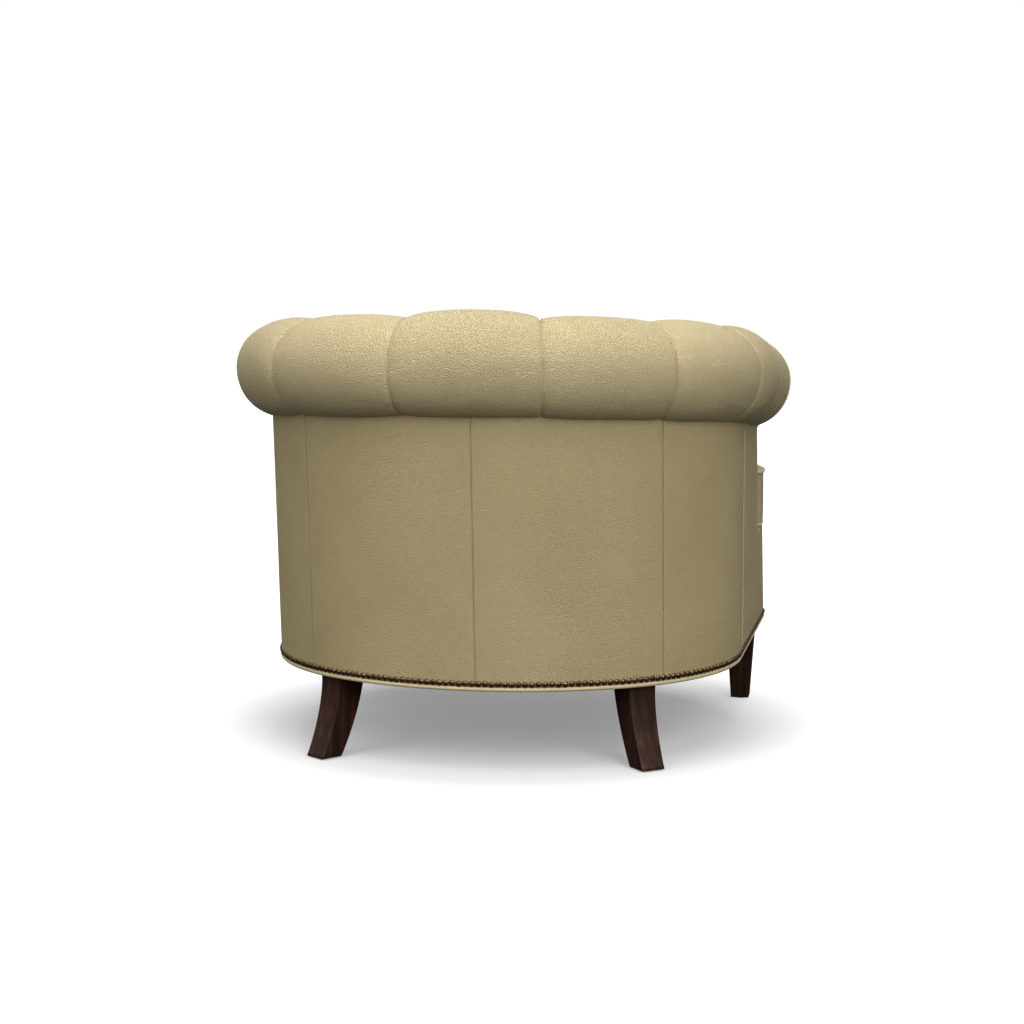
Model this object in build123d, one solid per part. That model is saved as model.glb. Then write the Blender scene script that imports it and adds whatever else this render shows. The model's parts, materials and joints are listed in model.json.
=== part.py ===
from build123d import *
import os
from math import asin, cos, degrees, pi, radians, sin, sqrt, tan

# Barrel armchair with a pleated roll, a leaning leather shell, nail trim and a loose T cushion.
# Millimetres. +Z up, the sitter faces -Y, +X is the sitter's left, origin on the floor under the middle.

os.makedirs("parts", exist_ok=True)

# Overall
OVERALL_HEIGHT = 747.0
BASE_Z = 137.0
SEAT_DECK_Z = 316.0

# Plan of the shell at its base: a back arc, two side arcs, straight sides that flare to the front
BACK_RADIUS = 470.0
BACK_HALF_ANGLE = 30.0
SIDE_RADIUS = 330.0
SIDE_FLARE_ANGLE = 1.5
BACK_Y = 350.0
FRONT_Y = -448.0
ARM_FRONT_Y = -345.0
LEAN_ANGLE = 5.5

# Roll round the back and arms
ROLL_HALF_WIDTH = 83.0
ROLL_HALF_HEIGHT = 78.0
ROLL_UNDER_HEIGHT = 86.4
MIDDLE_PILLOW_RISE = 7.0
ROLL_INSET = 21.0
ROLL_LIFT = 82.0
ROLL_FALL_ANGLE = 5.64
PLEAT_ANGLE = 28.0
PLEAT_DEPTH = 7.0
ARM_PLEAT_PITCH = 190.0

# Upholstery
PANEL_THICKNESS = 8.0
PAD_BACK_DEPTH = 72.0
PAD_FACE_DEPTH = 98.0
PAD_CROWN = 12.0
PAD_BOTTOM_Z = 298.0
FACING_THICKNESS = 10.0
SEAM_ARC_LENGTH = 318.0
ARM_SEAM_Y = -20.0
WELT_DIAMETER = 6.4
WELT_PROUD = 1.0
WELT_CORNER_RADIUS = 8.0
NAIL_DIAMETER = 9.4
NAIL_HEIGHT = 3.0
NAIL_Z = 147.5
DUST_COVER_THICKNESS = 1.2
DUST_COVER_INSET = 12.0

# Hardwood frame
RAIL_THICKNESS = 40.0
RAIL_HEIGHT = 60.0
RAIL_BOTTOM_Z = 140.0
RAIL_JOINT_Y = 150.0
FRONT_RAIL_THICKNESS = 25.0
FRONT_RAIL_TOP_Z = 290.0
SPRING_RAIL_Y = 165.0
SPRING_RAIL_THICKNESS = 25.0
SPRING_RAIL_HEIGHT = 45.0
LINER_RAIL_OUTER_DEPTH = 45.3
LINER_RAIL_INNER_DEPTH = 69.8
LINER_RAIL_BOTTOM_Z = 262.0
LINER_RAIL_HEIGHT = 30.0
LINER_JOINT_Y = 120.0
TOP_RAIL_THICKNESS = 22.0
TOP_RAIL_JOINT_Y = 200.0
POST_WIDTH = 60.0
ARM_POST_WIDTH = 45.0
BACK_POST_ANGLE = 41.0
CORNER_POST_WIDTH = 59.0
BLOCK_LEG = 55.0
BLOCK_HEIGHT = 36.0
SCREW_DIAMETER = 5.0
SCREW_HEAD_DIAMETER = 9.0
SCREW_HEAD_HEIGHT = 3.0
SCREW_LENGTH = 30.0

# Legs
LEG_FLOOR_GAP = 2.0
REAR_LEG_ANGLE = 36.2
REAR_LEG_INSET = 36.0
REAR_LEG_TURN = 38.4
REAR_LEG_SWEEP = 41.0
REAR_LEG_TOP = 52.0
REAR_LEG_FOOT = 42.0
FRONT_LEG_INSET = 32.5
FRONT_LEG_SETBACK = 105.0
FRONT_LEG_TOP = 52.0
FRONT_LEG_FOOT = 33.0
GLIDE_DIAMETER = 22.0
BOLT_DIAMETER = 8.0
BOLT_DEPTH_IN_LEG = 42.0
NUT_WIDTH = 13.0
NUT_HEIGHT = 6.5
NUT_POCKET_DIAMETER = 19.0
NUT_POCKET_DEPTH = 12.0

# Seat suspension
SPRING_COUNT = 5
SPRING_SPACING = 110.0
SPRING_WIRE = 3.8
SPRING_BARS = 19
SPRING_HALF_BAR = 17.0
CLIP_LENGTH = 24.0
CLIP_WIDTH = 12.0
CLIP_WALL = 2.1
WEBBING_WIDTH = 50.0
WEBBING_THICKNESS = 1.5
WEBBING_ANGLES = (0.0, 26.0, 64.0, 84.0)
WEBBING_ARM_Y = (-90.0, -220.0)
SPRING_COVER_THICKNESS = 1.5

# Loose seat cushion
CUSHION_SIDE_DEPTH = 120.0
CUSHION_HEIGHT = 106.0
CUSHION_CROWN = 22.0
CUSHION_OVERHANG = 3.4
CUSHION_EAR_HALF_WIDTH = 411.0
CUSHION_CORNER_RADIUS = 26.0
CUSHION_NOTCH_RADIUS = 12.0
CUSHION_DRAW_IN = 5.0
CUSHION_COVER = 2.5
CUSHION_WELT = 7.0
CUSHION_TOP_INSET = 6.0
CUSHION_GAP = 1.0

# Clearances, and how far the tub's working blocks run past the base and the roll's seat
FIT = 0.3
SEAT = 0.2
BOLT_FIT = 0.2
TUB_MARGIN = 60.0

# Worked-out values
lean_slope = tan(radians(LEAN_ANGLE))
fall_slope = tan(radians(ROLL_FALL_ANGLE))
back_half = radians(BACK_HALF_ANGLE)
roll_centre_z = OVERALL_HEIGHT - MIDDLE_PILLOW_RISE - ROLL_HALF_HEIGHT
junction_z = roll_centre_z - ROLL_LIFT + fall_slope * ROLL_INSET
junction_y = BACK_Y + (junction_z - BASE_Z) * lean_slope
panel_bottom_z = BASE_Z + WELT_DIAMETER + 0.1
rail_outer = PANEL_THICKNESS + SEAT
rail_inner = rail_outer + RAIL_THICKNESS
rail_top_z = RAIL_BOTTOM_Z + RAIL_HEIGHT
front_border_inner_y = FRONT_Y + PANEL_THICKNESS
facing_front_y = ARM_FRONT_Y - FACING_THICKNESS
block_low_z = BASE_Z - TUB_MARGIN
block_high_z = junction_z + TUB_MARGIN
far = 2.0 * OVERALL_HEIGHT


# Plan curves

def plan_centres(shift):
    """Centres of the back arc and of the +X side arc, moved back by shift."""
    back = Vector(0, BACK_Y - BACK_RADIUS + shift)
    reach = BACK_RADIUS - SIDE_RADIUS
    return back, back + Vector(reach * sin(back_half), reach * cos(back_half))


def polar(centre, radius, angle):
    """Point at a plan angle measured from +Y towards +X."""
    return centre + Vector(radius * sin(angle), radius * cos(angle))


def tub_face(depth, shift, flare, front_y, z):
    """Tub-shaped face, offset inwards by depth and closed by a straight front."""
    back, side = plan_centres(shift)
    back_r = BACK_RADIUS - depth
    side_r = SIDE_RADIUS - depth
    end = pi / 2 - flare
    a1 = polar(back, back_r, back_half)
    m2 = polar(side, side_r, (back_half + end) / 2)
    a2 = polar(side, side_r, end)
    a3 = Vector(a2.X + (a2.Y - front_y) * tan(flare), front_y)

    def flip(p):
        return Vector(-p.X, p.Y)

    edges = [
        ThreePointArc(flip(a1), polar(back, back_r, 0), a1),
        ThreePointArc(a1, m2, a2),
        Line(a2, a3),
        Line(a3, flip(a3)),
        Line(flip(a3), flip(a2)),
        ThreePointArc(flip(a2), flip(m2), flip(a1)),
    ]
    return Pos(0, 0, z) * make_face(edges)


def lean_at(z):
    return (z - BASE_Z) * lean_slope


def flare_at(z):
    return radians(SIDE_FLARE_ANGLE) * (junction_z - z) / (junction_z - BASE_Z)


def tub_block(depth, front_y):
    """Leaning solid of the tub, from below the base to above the junction."""
    low = tub_face(depth, lean_at(block_low_z), flare_at(block_low_z), front_y, block_low_z)
    high = tub_face(depth, lean_at(block_high_z), flare_at(block_high_z), front_y, block_high_z)
    return loft([low, high], ruled=True)


def tub_wall(outer_depth, inner_depth, front_y):
    """Leaning wall between two depths, open at the front."""
    return tub_block(outer_depth, front_y) - tub_block(inner_depth, front_y - RAIL_THICKNESS)


def shell_x(y, z):
    """Half width of the shell's outside on its straight side."""
    flare = flare_at(z)
    side = plan_centres(lean_at(z))[1]
    end = polar(side, SIDE_RADIUS, pi / 2 - flare)
    return end.X + (end.Y - y) * tan(flare)


# Cuts

def side_of(part, origin, normal):
    """The part of a solid on the side that normal points to."""
    return split(part, bisect_by=Plane(origin=origin, z_dir=normal), keep=Keep.TOP)


def above(part, z):
    return side_of(part, (0, 0, z), (0, 0, 1))


def below(part, z):
    return side_of(part, (0, 0, z), (0, 0, -1))


def behind(part, y):
    return side_of(part, (0, y, 0), (0, 1, 0))


def ahead(part, y):
    return side_of(part, (0, y, 0), (0, -1, 0))


def left_half(part):
    return side_of(part, (0, 0, 0), (1, 0, 0))


def under_roll(part, drop=0.0):
    """What lies below the sloping plane that the roll sits on, lowered by drop."""
    origin = (0, junction_y, junction_z - drop)
    return side_of(part, origin, (0, fall_slope, -1))


def over_roll_plane(part, drop):
    origin = (0, junction_y, junction_z - drop)
    return side_of(part, origin, (0, -fall_slope, 1))


def span_box(x0, x1, y0, y1, z0, z1):
    return Pos((x0 + x1) / 2, (y0 + y1) / 2, (z0 + z1) / 2) * Box(x1 - x0, y1 - y0, z1 - z0)


def radial_slab(angle, width):
    """Slab that reaches outwards from the +X side arc's centre at a plan angle in degrees."""
    centre = plan_centres(lean_at(junction_z) / 2)[1]
    if angle == 0:
        centre = Vector(0, centre.Y)
    slab = Pos(0, far / 2, junction_z / 2) * Box(width, far, far)
    return Pos(centre.X, centre.Y, 0) * Rot(0, 0, -angle) * slab


def mirrored(part):
    return mirror(part, about=Plane.YZ)


def node(name, *solids):
    """Writes one named sub-part, as one solid or a group of separate solids."""
    found = []
    for item in solids:
        found += item.solids()
    shape = found[0] if len(found) == 1 else Compound(children=found)
    shape.label = name
    export_step(shape, f"parts/{name}.step")


def pair(name, part):
    """Writes a +X piece and its mirror image as the left and right nodes."""
    node(f"{name}_left", part)
    node(f"{name}_right", mirrored(part))


# Roll and inside pads, one pillow between each pair of pleats

roll_back_r = BACK_RADIUS - ROLL_INSET
roll_side_r = SIDE_RADIUS - ROLL_INSET
roll_back_length = roll_back_r * back_half
roll_side_length = roll_side_r * (pi / 2 - back_half)
top_back, top_side = plan_centres(lean_at(junction_z))
roll_end = roll_back_length + roll_side_length + top_side.Y - ARM_FRONT_Y


def station(s):
    """Axis point, plan angle and radius of the roll at s along its centre line, +X side."""
    if s <= roll_back_length:
        return top_back, s / roll_back_r, BACK_RADIUS
    if s <= roll_back_length + roll_side_length:
        return top_side, back_half + (s - roll_back_length) / roll_side_r, SIDE_RADIUS
    along = s - roll_back_length - roll_side_length
    return Vector(top_side.X, top_side.Y - along), pi / 2, SIDE_RADIUS


def arc_station(angle_degrees):
    """Distance along the roll's centre line at a plan angle on its arcs."""
    angle = radians(angle_degrees)
    if angle <= back_half:
        return roll_back_r * angle
    return roll_back_length + roll_side_r * (angle - back_half)


def section_frame(s):
    """Maps (depth from the shell, z) at a station to a point, with the lean taken in below the roll."""
    axis, angle, radius = station(abs(s))
    sign = -1 if s < 0 else 1
    straight = abs(s) > roll_back_length + roll_side_length

    def point(depth, z):
        reach = radius - depth
        drop = max(junction_z - z, 0.0) * lean_slope
        if not straight:
            reach = sqrt(reach ** 2 - (drop * sin(angle)) ** 2) - drop * cos(angle)
        return Vector(sign * (axis.X + reach * sin(angle)), axis.Y + reach * cos(angle), z)

    def seat_z(depth):
        y = axis.Y + (radius - depth) * cos(angle)
        return junction_z - fall_slope * (junction_y - y)

    return point, seat_z


def pad_section(s, crown, back_depth, bottom_z, back_bottom_depth=None, rise=0.0):
    """Closed section of the inside pad and the roll: crown is 0 in a pleat and 1 on a pillow."""
    point, seat_z = section_frame(s)
    half_w = ROLL_HALF_WIDTH - PLEAT_DEPTH * (1 - crown)
    half_h = ROLL_HALF_HEIGHT + rise * crown - PLEAT_DEPTH * (1 - crown)
    under_h = ROLL_UNDER_HEIGHT - PLEAT_DEPTH * (1 - crown)
    centre_z = seat_z(ROLL_INSET) + ROLL_LIFT
    flat = ROLL_HALF_WIDTH * sqrt(1 - (ROLL_LIFT / ROLL_UNDER_HEIGHT) ** 2)
    flat_depth = ROLL_INSET - flat
    back_bottom = back_depth if back_bottom_depth is None else back_bottom_depth

    def on_roll(degrees_up):
        turn = radians(degrees_up)
        height = half_h if degrees_up <= 180 else under_h
        return point(ROLL_INSET + half_w * cos(turn), centre_z + height * sin(turn))

    face_bottom = PAD_FACE_DEPTH + PAD_CROWN * crown
    tangent_depth = ROLL_INSET + half_w
    face_mid = (face_bottom + tangent_depth) / 2 + PAD_CROWN * (0.2 + 0.4 * crown)
    mid_z = (bottom_z + centre_z) / 2
    low_inner = point(face_bottom, bottom_z)
    outer_low = point(flat_depth, seat_z(flat_depth))
    inner_low = point(back_depth, seat_z(back_depth))
    low_back = point(back_bottom, bottom_z)
    under_angle = 180 + degrees(asin(ROLL_LIFT / ROLL_UNDER_HEIGHT)) / 2
    return Wire([
        ThreePointArc(low_inner, point(face_mid, mid_z), on_roll(0)),
        ThreePointArc(on_roll(0), on_roll(45), on_roll(90)),
        ThreePointArc(on_roll(90), on_roll(135), on_roll(180)),
        ThreePointArc(on_roll(180), on_roll(under_angle), outer_low),
        Line(outer_low, inner_low),
        Line(inner_low, low_back),
        Line(low_back, low_inner),
    ])


def pillow(s0, s1, crowns, rise=0.0):
    """One pleat-to-pleat pillow, lofted through sections with the given crowns."""
    shares = (0.0, 0.2, 0.5, 0.8, 1.0)
    wires = []
    for share, crown in zip(shares, crowns):
        s = s0 + (s1 - s0) * share
        wires.append(pad_section(s, crown, PAD_BACK_DEPTH, PAD_BOTTOM_Z, rise=rise))
    return Solid.make_loft(wires)


full_pillow = (0.0, 0.72, 1.0, 0.72, 0.0)
end_pillow = (0.0, 0.72, 1.0, 0.9, 0.6)
pleats = [arc_station(PLEAT_ANGLE * (i + 0.5)) for i in range(3)]
pleats += [pleats[-1] + ARM_PLEAT_PITCH * (i + 1) for i in range(2)]
back_pillows = [pillow(-pleats[0], pleats[0], full_pillow, MIDDLE_PILLOW_RISE)]
for i in range(2):
    piece = pillow(pleats[i], pleats[i + 1], full_pillow)
    back_pillows += [piece, mirrored(piece)]
arm_pillows = [pillow(pleats[i], pleats[i + 1], full_pillow) for i in range(2, 4)]
arm_pillows.append(pillow(pleats[4], roll_end, end_pillow))
node("back_roll_pads", *back_pillows)
node("arm_roll_pads_left", *arm_pillows)
node("arm_roll_pads_right", *[mirrored(p) for p in arm_pillows])


# Arm facings

def arm_facing():
    flare_out = SIDE_RADIUS + top_side.X - shell_x(ARM_FRONT_Y, SEAT_DECK_Z)
    wire = pad_section(roll_end, end_pillow[-1], 0.0, SEAT_DECK_Z + FIT, flare_out)
    return extrude(Face(wire), FACING_THICKNESS, dir=(0, -1, 0))


pair("arm_facing", arm_facing())


# Outside leather panels

def seam_cut(part, angle, keep_front):
    """Cuts a +X panel along the leaning seam line at a plan angle on the side arc."""
    side = plan_centres(0)[1]
    outward = Vector(sin(angle), cos(angle), 0)
    rising = Vector(0, lean_slope, 1)
    normal = outward.cross(rising)
    if (normal.Y > 0) == keep_front:
        normal = normal * -1
    return side_of(part, (side.X, side.Y, BASE_Z), normal)


def outside_panels():
    wall = tub_wall(0, PANEL_THICKNESS, FRONT_Y)
    wall = under_roll(above(left_half(wall), panel_bottom_z), SEAT)
    wall -= span_box(0, far, FRONT_Y - far, ARM_FRONT_Y, SEAT_DECK_Z, far)
    seam_angle = back_half + (SEAM_ARC_LENGTH - BACK_RADIUS * back_half) / SIDE_RADIUS
    back = seam_cut(wall, seam_angle, False)
    rest = seam_cut(wall, seam_angle, True)
    return back, behind(rest, ARM_SEAM_Y), ahead(rest, ARM_SEAM_Y)


back_panel, side_panel, arm_panel = outside_panels()
pair("outside_back", back_panel)
pair("outside_side", side_panel)
pair("outside_arm", arm_panel)

inner_block = tub_block(PANEL_THICKNESS + 0.1, FRONT_Y - RAIL_THICKNESS)
front_border = span_box(-far, far, FRONT_Y, front_border_inner_y, panel_bottom_z, SEAT_DECK_Z)
node("front_border", front_border & inner_block)


# Places of the legs, set in from the shell

rear_spot = polar(plan_centres(0)[1], SIDE_RADIUS - REAR_LEG_INSET, radians(REAR_LEG_ANGLE))
rear_leg_x = rear_spot.X
rear_leg_y = rear_spot.Y
front_leg_y = FRONT_Y + FRONT_LEG_SETBACK
front_leg_x = shell_x(front_leg_y, BASE_Z) - FRONT_LEG_INSET
leg_spots = [(rear_leg_x, rear_leg_y), (front_leg_x, front_leg_y)]


# Base welt, nail trim and dust cover

def base_path():
    """Closed line of the welt's middle round the base, with small front corners."""
    depth = WELT_DIAMETER / 2 - WELT_PROUD
    face = tub_face(depth, 0, radians(SIDE_FLARE_ANGLE), FRONT_Y + depth, 0)
    corners = face.vertices().group_by(Axis.Y)[0]
    rounded = fillet(corners, WELT_CORNER_RADIUS)
    return rounded.face().outer_wire()


def base_welt():
    path = Pos(0, 0, BASE_Z + WELT_DIAMETER / 2) * base_path()
    start = path @ 0
    section = Plane(origin=start, z_dir=path % 0) * Circle(WELT_DIAMETER / 2)
    return sweep(section, path)


node("base_welt", base_welt())


def nail_trim():
    """Continuous nail strip round the base; its heads are too small to be solids of their own."""
    outer = tub_block(-NAIL_HEIGHT, FRONT_Y - NAIL_HEIGHT)
    inner = tub_block(-SEAT, FRONT_Y - SEAT)
    ring = outer - inner
    return below(above(ring, NAIL_Z - NAIL_DIAMETER / 2), NAIL_Z + NAIL_DIAMETER / 2)


node("nail_trim", nail_trim())


def dust_cover():
    face = tub_face(DUST_COVER_INSET, 0, radians(SIDE_FLARE_ANGLE), FRONT_Y + DUST_COVER_INSET,
                    RAIL_BOTTOM_Z - DUST_COVER_THICKNESS)
    sheet = extrude(face, DUST_COVER_THICKNESS, dir=(0, 0, 1))
    room = 2 * FIT + 1.0
    for sign in (-1, 1):
        rear_cut = Rot(0, 0, -sign * REAR_LEG_TURN) * Box(REAR_LEG_TOP + room, REAR_LEG_TOP + room, RAIL_HEIGHT)
        front_cut = Box(FRONT_LEG_TOP + room, FRONT_LEG_TOP + room, RAIL_HEIGHT)
        sheet -= Pos(sign * rear_leg_x, rear_leg_y, RAIL_BOTTOM_Z) * rear_cut
        sheet -= Pos(sign * front_leg_x, front_leg_y, RAIL_BOTTOM_Z) * front_cut
    return sheet


node("dust_cover", dust_cover())


# Legs, glides and their bolts

leg_height = RAIL_BOTTOM_Z - LEG_FLOOR_GAP
leg_turn = radians(REAR_LEG_TURN)


def bolt_hole(x, y, z0, z1):
    return Pos(x, y, (z0 + z1) / 2) * Cylinder(BOLT_DIAMETER / 2 + BOLT_FIT, z1 - z0)


def rear_leg():
    """Sabre leg, square in section and turned with the plan, sweeping out the way it faces."""
    wires = []
    for share in (0.0, 0.33, 0.67, 1.0):
        side = REAR_LEG_TOP + (REAR_LEG_FOOT - REAR_LEG_TOP) * share ** 0.7
        middle = polar(rear_spot, REAR_LEG_SWEEP * share ** 1.7, leg_turn)
        place = Pos(middle.X, middle.Y, RAIL_BOTTOM_Z - leg_height * share)
        wires.append((place * Rot(0, 0, -REAR_LEG_TURN) * Rectangle(side, side)).face().outer_wire())
    leg = Solid.make_loft(wires)
    return leg - bolt_hole(rear_leg_x, rear_leg_y, RAIL_BOTTOM_Z - BOLT_DEPTH_IN_LEG, RAIL_BOTTOM_Z + 1)


def front_leg():
    """Straight square leg that tapers to the foot."""
    top = Pos(front_leg_x, front_leg_y, RAIL_BOTTOM_Z) * Rectangle(FRONT_LEG_TOP, FRONT_LEG_TOP)
    foot = Pos(front_leg_x, front_leg_y, LEG_FLOOR_GAP) * Rectangle(FRONT_LEG_FOOT, FRONT_LEG_FOOT)
    leg = loft([foot, top], ruled=True)
    return leg - bolt_hole(front_leg_x, front_leg_y, RAIL_BOTTOM_Z - BOLT_DEPTH_IN_LEG, RAIL_BOTTOM_Z + 1)


pair("rear_leg", rear_leg())
pair("front_leg", front_leg())

rear_foot = polar(rear_spot, REAR_LEG_SWEEP, leg_turn)
foot_spots = [(rear_foot.X, rear_foot.Y), (front_leg_x, front_leg_y)]
glides, bolts, nuts = [], [], []
bolt_bottom_z = RAIL_BOTTOM_Z - BOLT_DEPTH_IN_LEG
nut_seat_z = rail_top_z - NUT_POCKET_DEPTH
bolt_top_z = rail_top_z - 1.0
for sign in (-1, 1):
    for x, y in foot_spots:
        glide = Pos(sign * x, y, LEG_FLOOR_GAP / 2) * Cylinder(GLIDE_DIAMETER / 2, LEG_FLOOR_GAP)
        glides.append(chamfer(glide.edges().group_by(Axis.Z)[0], LEG_FLOOR_GAP / 3))
    for x, y in leg_spots:
        middle_z = (bolt_bottom_z + bolt_top_z) / 2
        bolts.append(Pos(sign * x, y, middle_z) * Cylinder(BOLT_DIAMETER / 2, bolt_top_z - bolt_bottom_z))
        nut = extrude(RegularPolygon(NUT_WIDTH / 2, 6, major_radius=False), NUT_HEIGHT)
        nut -= Cylinder(BOLT_DIAMETER / 2 + BOLT_FIT, 3 * NUT_HEIGHT)
        nuts.append(Pos(sign * x, y, nut_seat_z) * nut)
node("leg_glides", *glides)
node("leg_bolts", *bolts)
node("leg_nuts", *nuts)


# Base frame

def base_rails():
    wall = tub_wall(rail_outer, rail_inner, front_border_inner_y + SEAT)
    ring = below(above(wall, RAIL_BOTTOM_Z), rail_top_z)
    for sign in (-1, 1):
        for x, y in leg_spots:
            ring -= bolt_hole(sign * x, y, RAIL_BOTTOM_Z - 1, rail_top_z + 1)
            pocket = Cylinder(NUT_POCKET_DIAMETER / 2, 2 * NUT_POCKET_DEPTH)
            ring -= Pos(sign * x, y, rail_top_z) * pocket
    return behind(ring, RAIL_JOINT_Y), left_half(ahead(ring, RAIL_JOINT_Y - SEAT))


back_rail, side_rail = base_rails()
node("back_rail", back_rail)
pair("side_rail", side_rail)

rail_room = tub_block(rail_inner + SEAT, FRONT_Y - RAIL_THICKNESS)
front_rail_y0 = front_border_inner_y + SEAT
front_rail_y1 = front_rail_y0 + FRONT_RAIL_THICKNESS
front_rail = span_box(-far, far, front_rail_y0, front_rail_y1, RAIL_BOTTOM_Z, FRONT_RAIL_TOP_Z)
node("front_rail", front_rail & rail_room)

spring_rail = span_box(-far, far, SPRING_RAIL_Y, SPRING_RAIL_Y + SPRING_RAIL_THICKNESS,
                       FRONT_RAIL_TOP_Z - SPRING_RAIL_HEIGHT, FRONT_RAIL_TOP_Z)
liner_room = tub_block(LINER_RAIL_INNER_DEPTH + SEAT, FRONT_Y - RAIL_THICKNESS)
node("spring_rail", spring_rail & liner_room)


def corner_block():
    """Three-cornered glue block in the +X front corner, with its two screws through it."""
    x = shell_x(front_rail_y1, RAIL_BOTTOM_Z) - rail_inner - 2 * SEAT
    y = front_rail_y1 + SEAT
    z = RAIL_BOTTOM_Z + (RAIL_HEIGHT - BLOCK_HEIGHT) / 2
    outline = make_face(Polyline((x, y), (x - BLOCK_LEG, y), (x, y + BLOCK_LEG), close=True))
    block = Pos(0, 0, z) * extrude(outline, BLOCK_HEIGHT)
    block = block & rail_room
    slant = Vector(-1, 1, 0).normalized()
    middle = Vector(x - BLOCK_LEG / 2, y + BLOCK_LEG / 2, z)
    screws = []
    for share in (0.3, 0.7):
        seat = Plane(origin=middle + Vector(0, 0, BLOCK_HEIGHT * share), z_dir=slant)
        block -= seat * Pos(0, 0, -SCREW_LENGTH / 2) * Cylinder(SCREW_DIAMETER / 2 + SEAT, SCREW_LENGTH)
        shank_length = SCREW_LENGTH - 1.0
        shank = Pos(0, 0, -shank_length / 2) * Cylinder(SCREW_DIAMETER / 2, shank_length)
        head = Pos(0, 0, SCREW_HEAD_HEIGHT / 2) * Cylinder(SCREW_HEAD_DIAMETER / 2, SCREW_HEAD_HEIGHT)
        screws.append(seat * (shank + head))
    return block, screws


block, screws = corner_block()
node("corner_blocks", block, mirrored(block))
node("corner_block_screws", *screws, *[mirrored(s) for s in screws])

corner_post = tub_wall(rail_outer, rail_inner, front_border_inner_y + SEAT)
corner_post = left_half(ahead(corner_post, front_rail_y0 + CORNER_POST_WIDTH))
cover_bottom_z = FRONT_RAIL_TOP_Z + SPRING_WIRE + 2 * CLIP_WALL + FIT
pair("front_corner_post", below(above(corner_post, rail_top_z), cover_bottom_z - FIT))


# Uprights and upper rails

post_wall = tub_wall(rail_outer + SEAT, LINER_RAIL_OUTER_DEPTH - SEAT, FRONT_Y)
post_wall = under_roll(above(post_wall, rail_top_z), TOP_RAIL_THICKNESS)
node("back_post_middle", post_wall & radial_slab(0, POST_WIDTH))
pair("back_post", post_wall & radial_slab(BACK_POST_ANGLE, POST_WIDTH))

arm_wall = tub_wall(rail_outer + SEAT, LINER_RAIL_INNER_DEPTH, FRONT_Y)
arm_wall = under_roll(above(left_half(arm_wall), rail_top_z), TOP_RAIL_THICKNESS)
arm_post_back_y = ARM_FRONT_Y + ARM_POST_WIDTH
pair("arm_post", ahead(behind(arm_wall, ARM_FRONT_Y + SEAT), arm_post_back_y))

liner = tub_wall(LINER_RAIL_OUTER_DEPTH, LINER_RAIL_INNER_DEPTH, FRONT_Y)
liner = below(above(liner, LINER_RAIL_BOTTOM_Z), LINER_RAIL_BOTTOM_Z + LINER_RAIL_HEIGHT)
node("liner_rail_back", behind(liner, LINER_JOINT_Y))
liner_side = ahead(behind(left_half(liner), arm_post_back_y + SEAT), LINER_JOINT_Y - SEAT)
pair("liner_rail", liner_side)

top_wall = tub_wall(rail_outer + SEAT, LINER_RAIL_INNER_DEPTH, FRONT_Y)
top_wall = over_roll_plane(under_roll(top_wall, SEAT), TOP_RAIL_THICKNESS)
top_wall = behind(top_wall, ARM_FRONT_Y + SEAT)
node("top_rail_back", behind(top_wall, TOP_RAIL_JOINT_Y))
pair("arm_rail", left_half(ahead(top_wall, TOP_RAIL_JOINT_Y - SEAT)))


# Webbing behind the inside pads

def webbing():
    outer = LINER_RAIL_INNER_DEPTH + FIT
    sheet = tub_wall(outer, outer + WEBBING_THICKNESS, FRONT_Y)
    sheet = under_roll(above(sheet, LINER_RAIL_BOTTOM_Z + LINER_RAIL_HEIGHT / 4), TOP_RAIL_THICKNESS / 4)
    straps = []
    for angle in WEBBING_ANGLES:
        strap = sheet & radial_slab(angle, WEBBING_WIDTH)
        straps.append(strap)
        if angle > 0:
            straps.append(mirrored(strap))
    for y in WEBBING_ARM_Y:
        strap = left_half(ahead(behind(sheet, y - WEBBING_WIDTH / 2), y + WEBBING_WIDTH / 2))
        straps += [strap, mirrored(strap)]
    return straps


node("inside_webbing", *webbing())


# Seat suspension

spring_z = FRONT_RAIL_TOP_Z + CLIP_WALL + SPRING_WIRE / 2
spring_y0 = front_rail_y0 + FRONT_RAIL_THICKNESS / 2
spring_y1 = SPRING_RAIL_Y + SPRING_RAIL_THICKNESS / 2
bar_pitch = (spring_y1 - spring_y0) / (SPRING_BARS - 1)


def sinuous_spring():
    """Flat zigzag of straight bars joined by half turns."""
    edges = []
    for i in range(SPRING_BARS):
        y = spring_y0 + i * bar_pitch
        way = 1 if i % 2 == 0 else -1
        start = (-way * SPRING_HALF_BAR, y)
        end = (way * SPRING_HALF_BAR, y)
        edges.append(Line(start, end))
        if i < SPRING_BARS - 1:
            tip = (way * (SPRING_HALF_BAR + bar_pitch / 2), y + bar_pitch / 2)
            edges.append(ThreePointArc(end, tip, (end[0], y + bar_pitch)))
    path = Wire(edges)
    section = Plane(origin=path @ 0, z_dir=path % 0) * Circle(SPRING_WIRE / 2)
    return Pos(0, 0, spring_z) * sweep(section, path)


def spring_clip(y):
    height = SPRING_WIRE + 2 * CLIP_WALL
    body = Pos(0, y, FRONT_RAIL_TOP_Z + height / 2) * Box(CLIP_LENGTH, CLIP_WIDTH, height)
    bore = Pos(0, y, spring_z) * Rot(0, 90, 0) * Cylinder(SPRING_WIRE / 2 + SEAT, 2 * CLIP_LENGTH)
    return body - bore


first_spring_x = -SPRING_SPACING * (SPRING_COUNT - 1) / 2
spring_xs = [first_spring_x + SPRING_SPACING * i for i in range(SPRING_COUNT)]
one_spring = sinuous_spring()
node("seat_springs", *[Pos(x, 0, 0) * one_spring for x in spring_xs])
clips = [spring_clip(spring_y0), spring_clip(spring_y1)]
node("spring_clips", *[Pos(x, 0, 0) * clip for x in spring_xs for clip in clips])


# Seat deck

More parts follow.
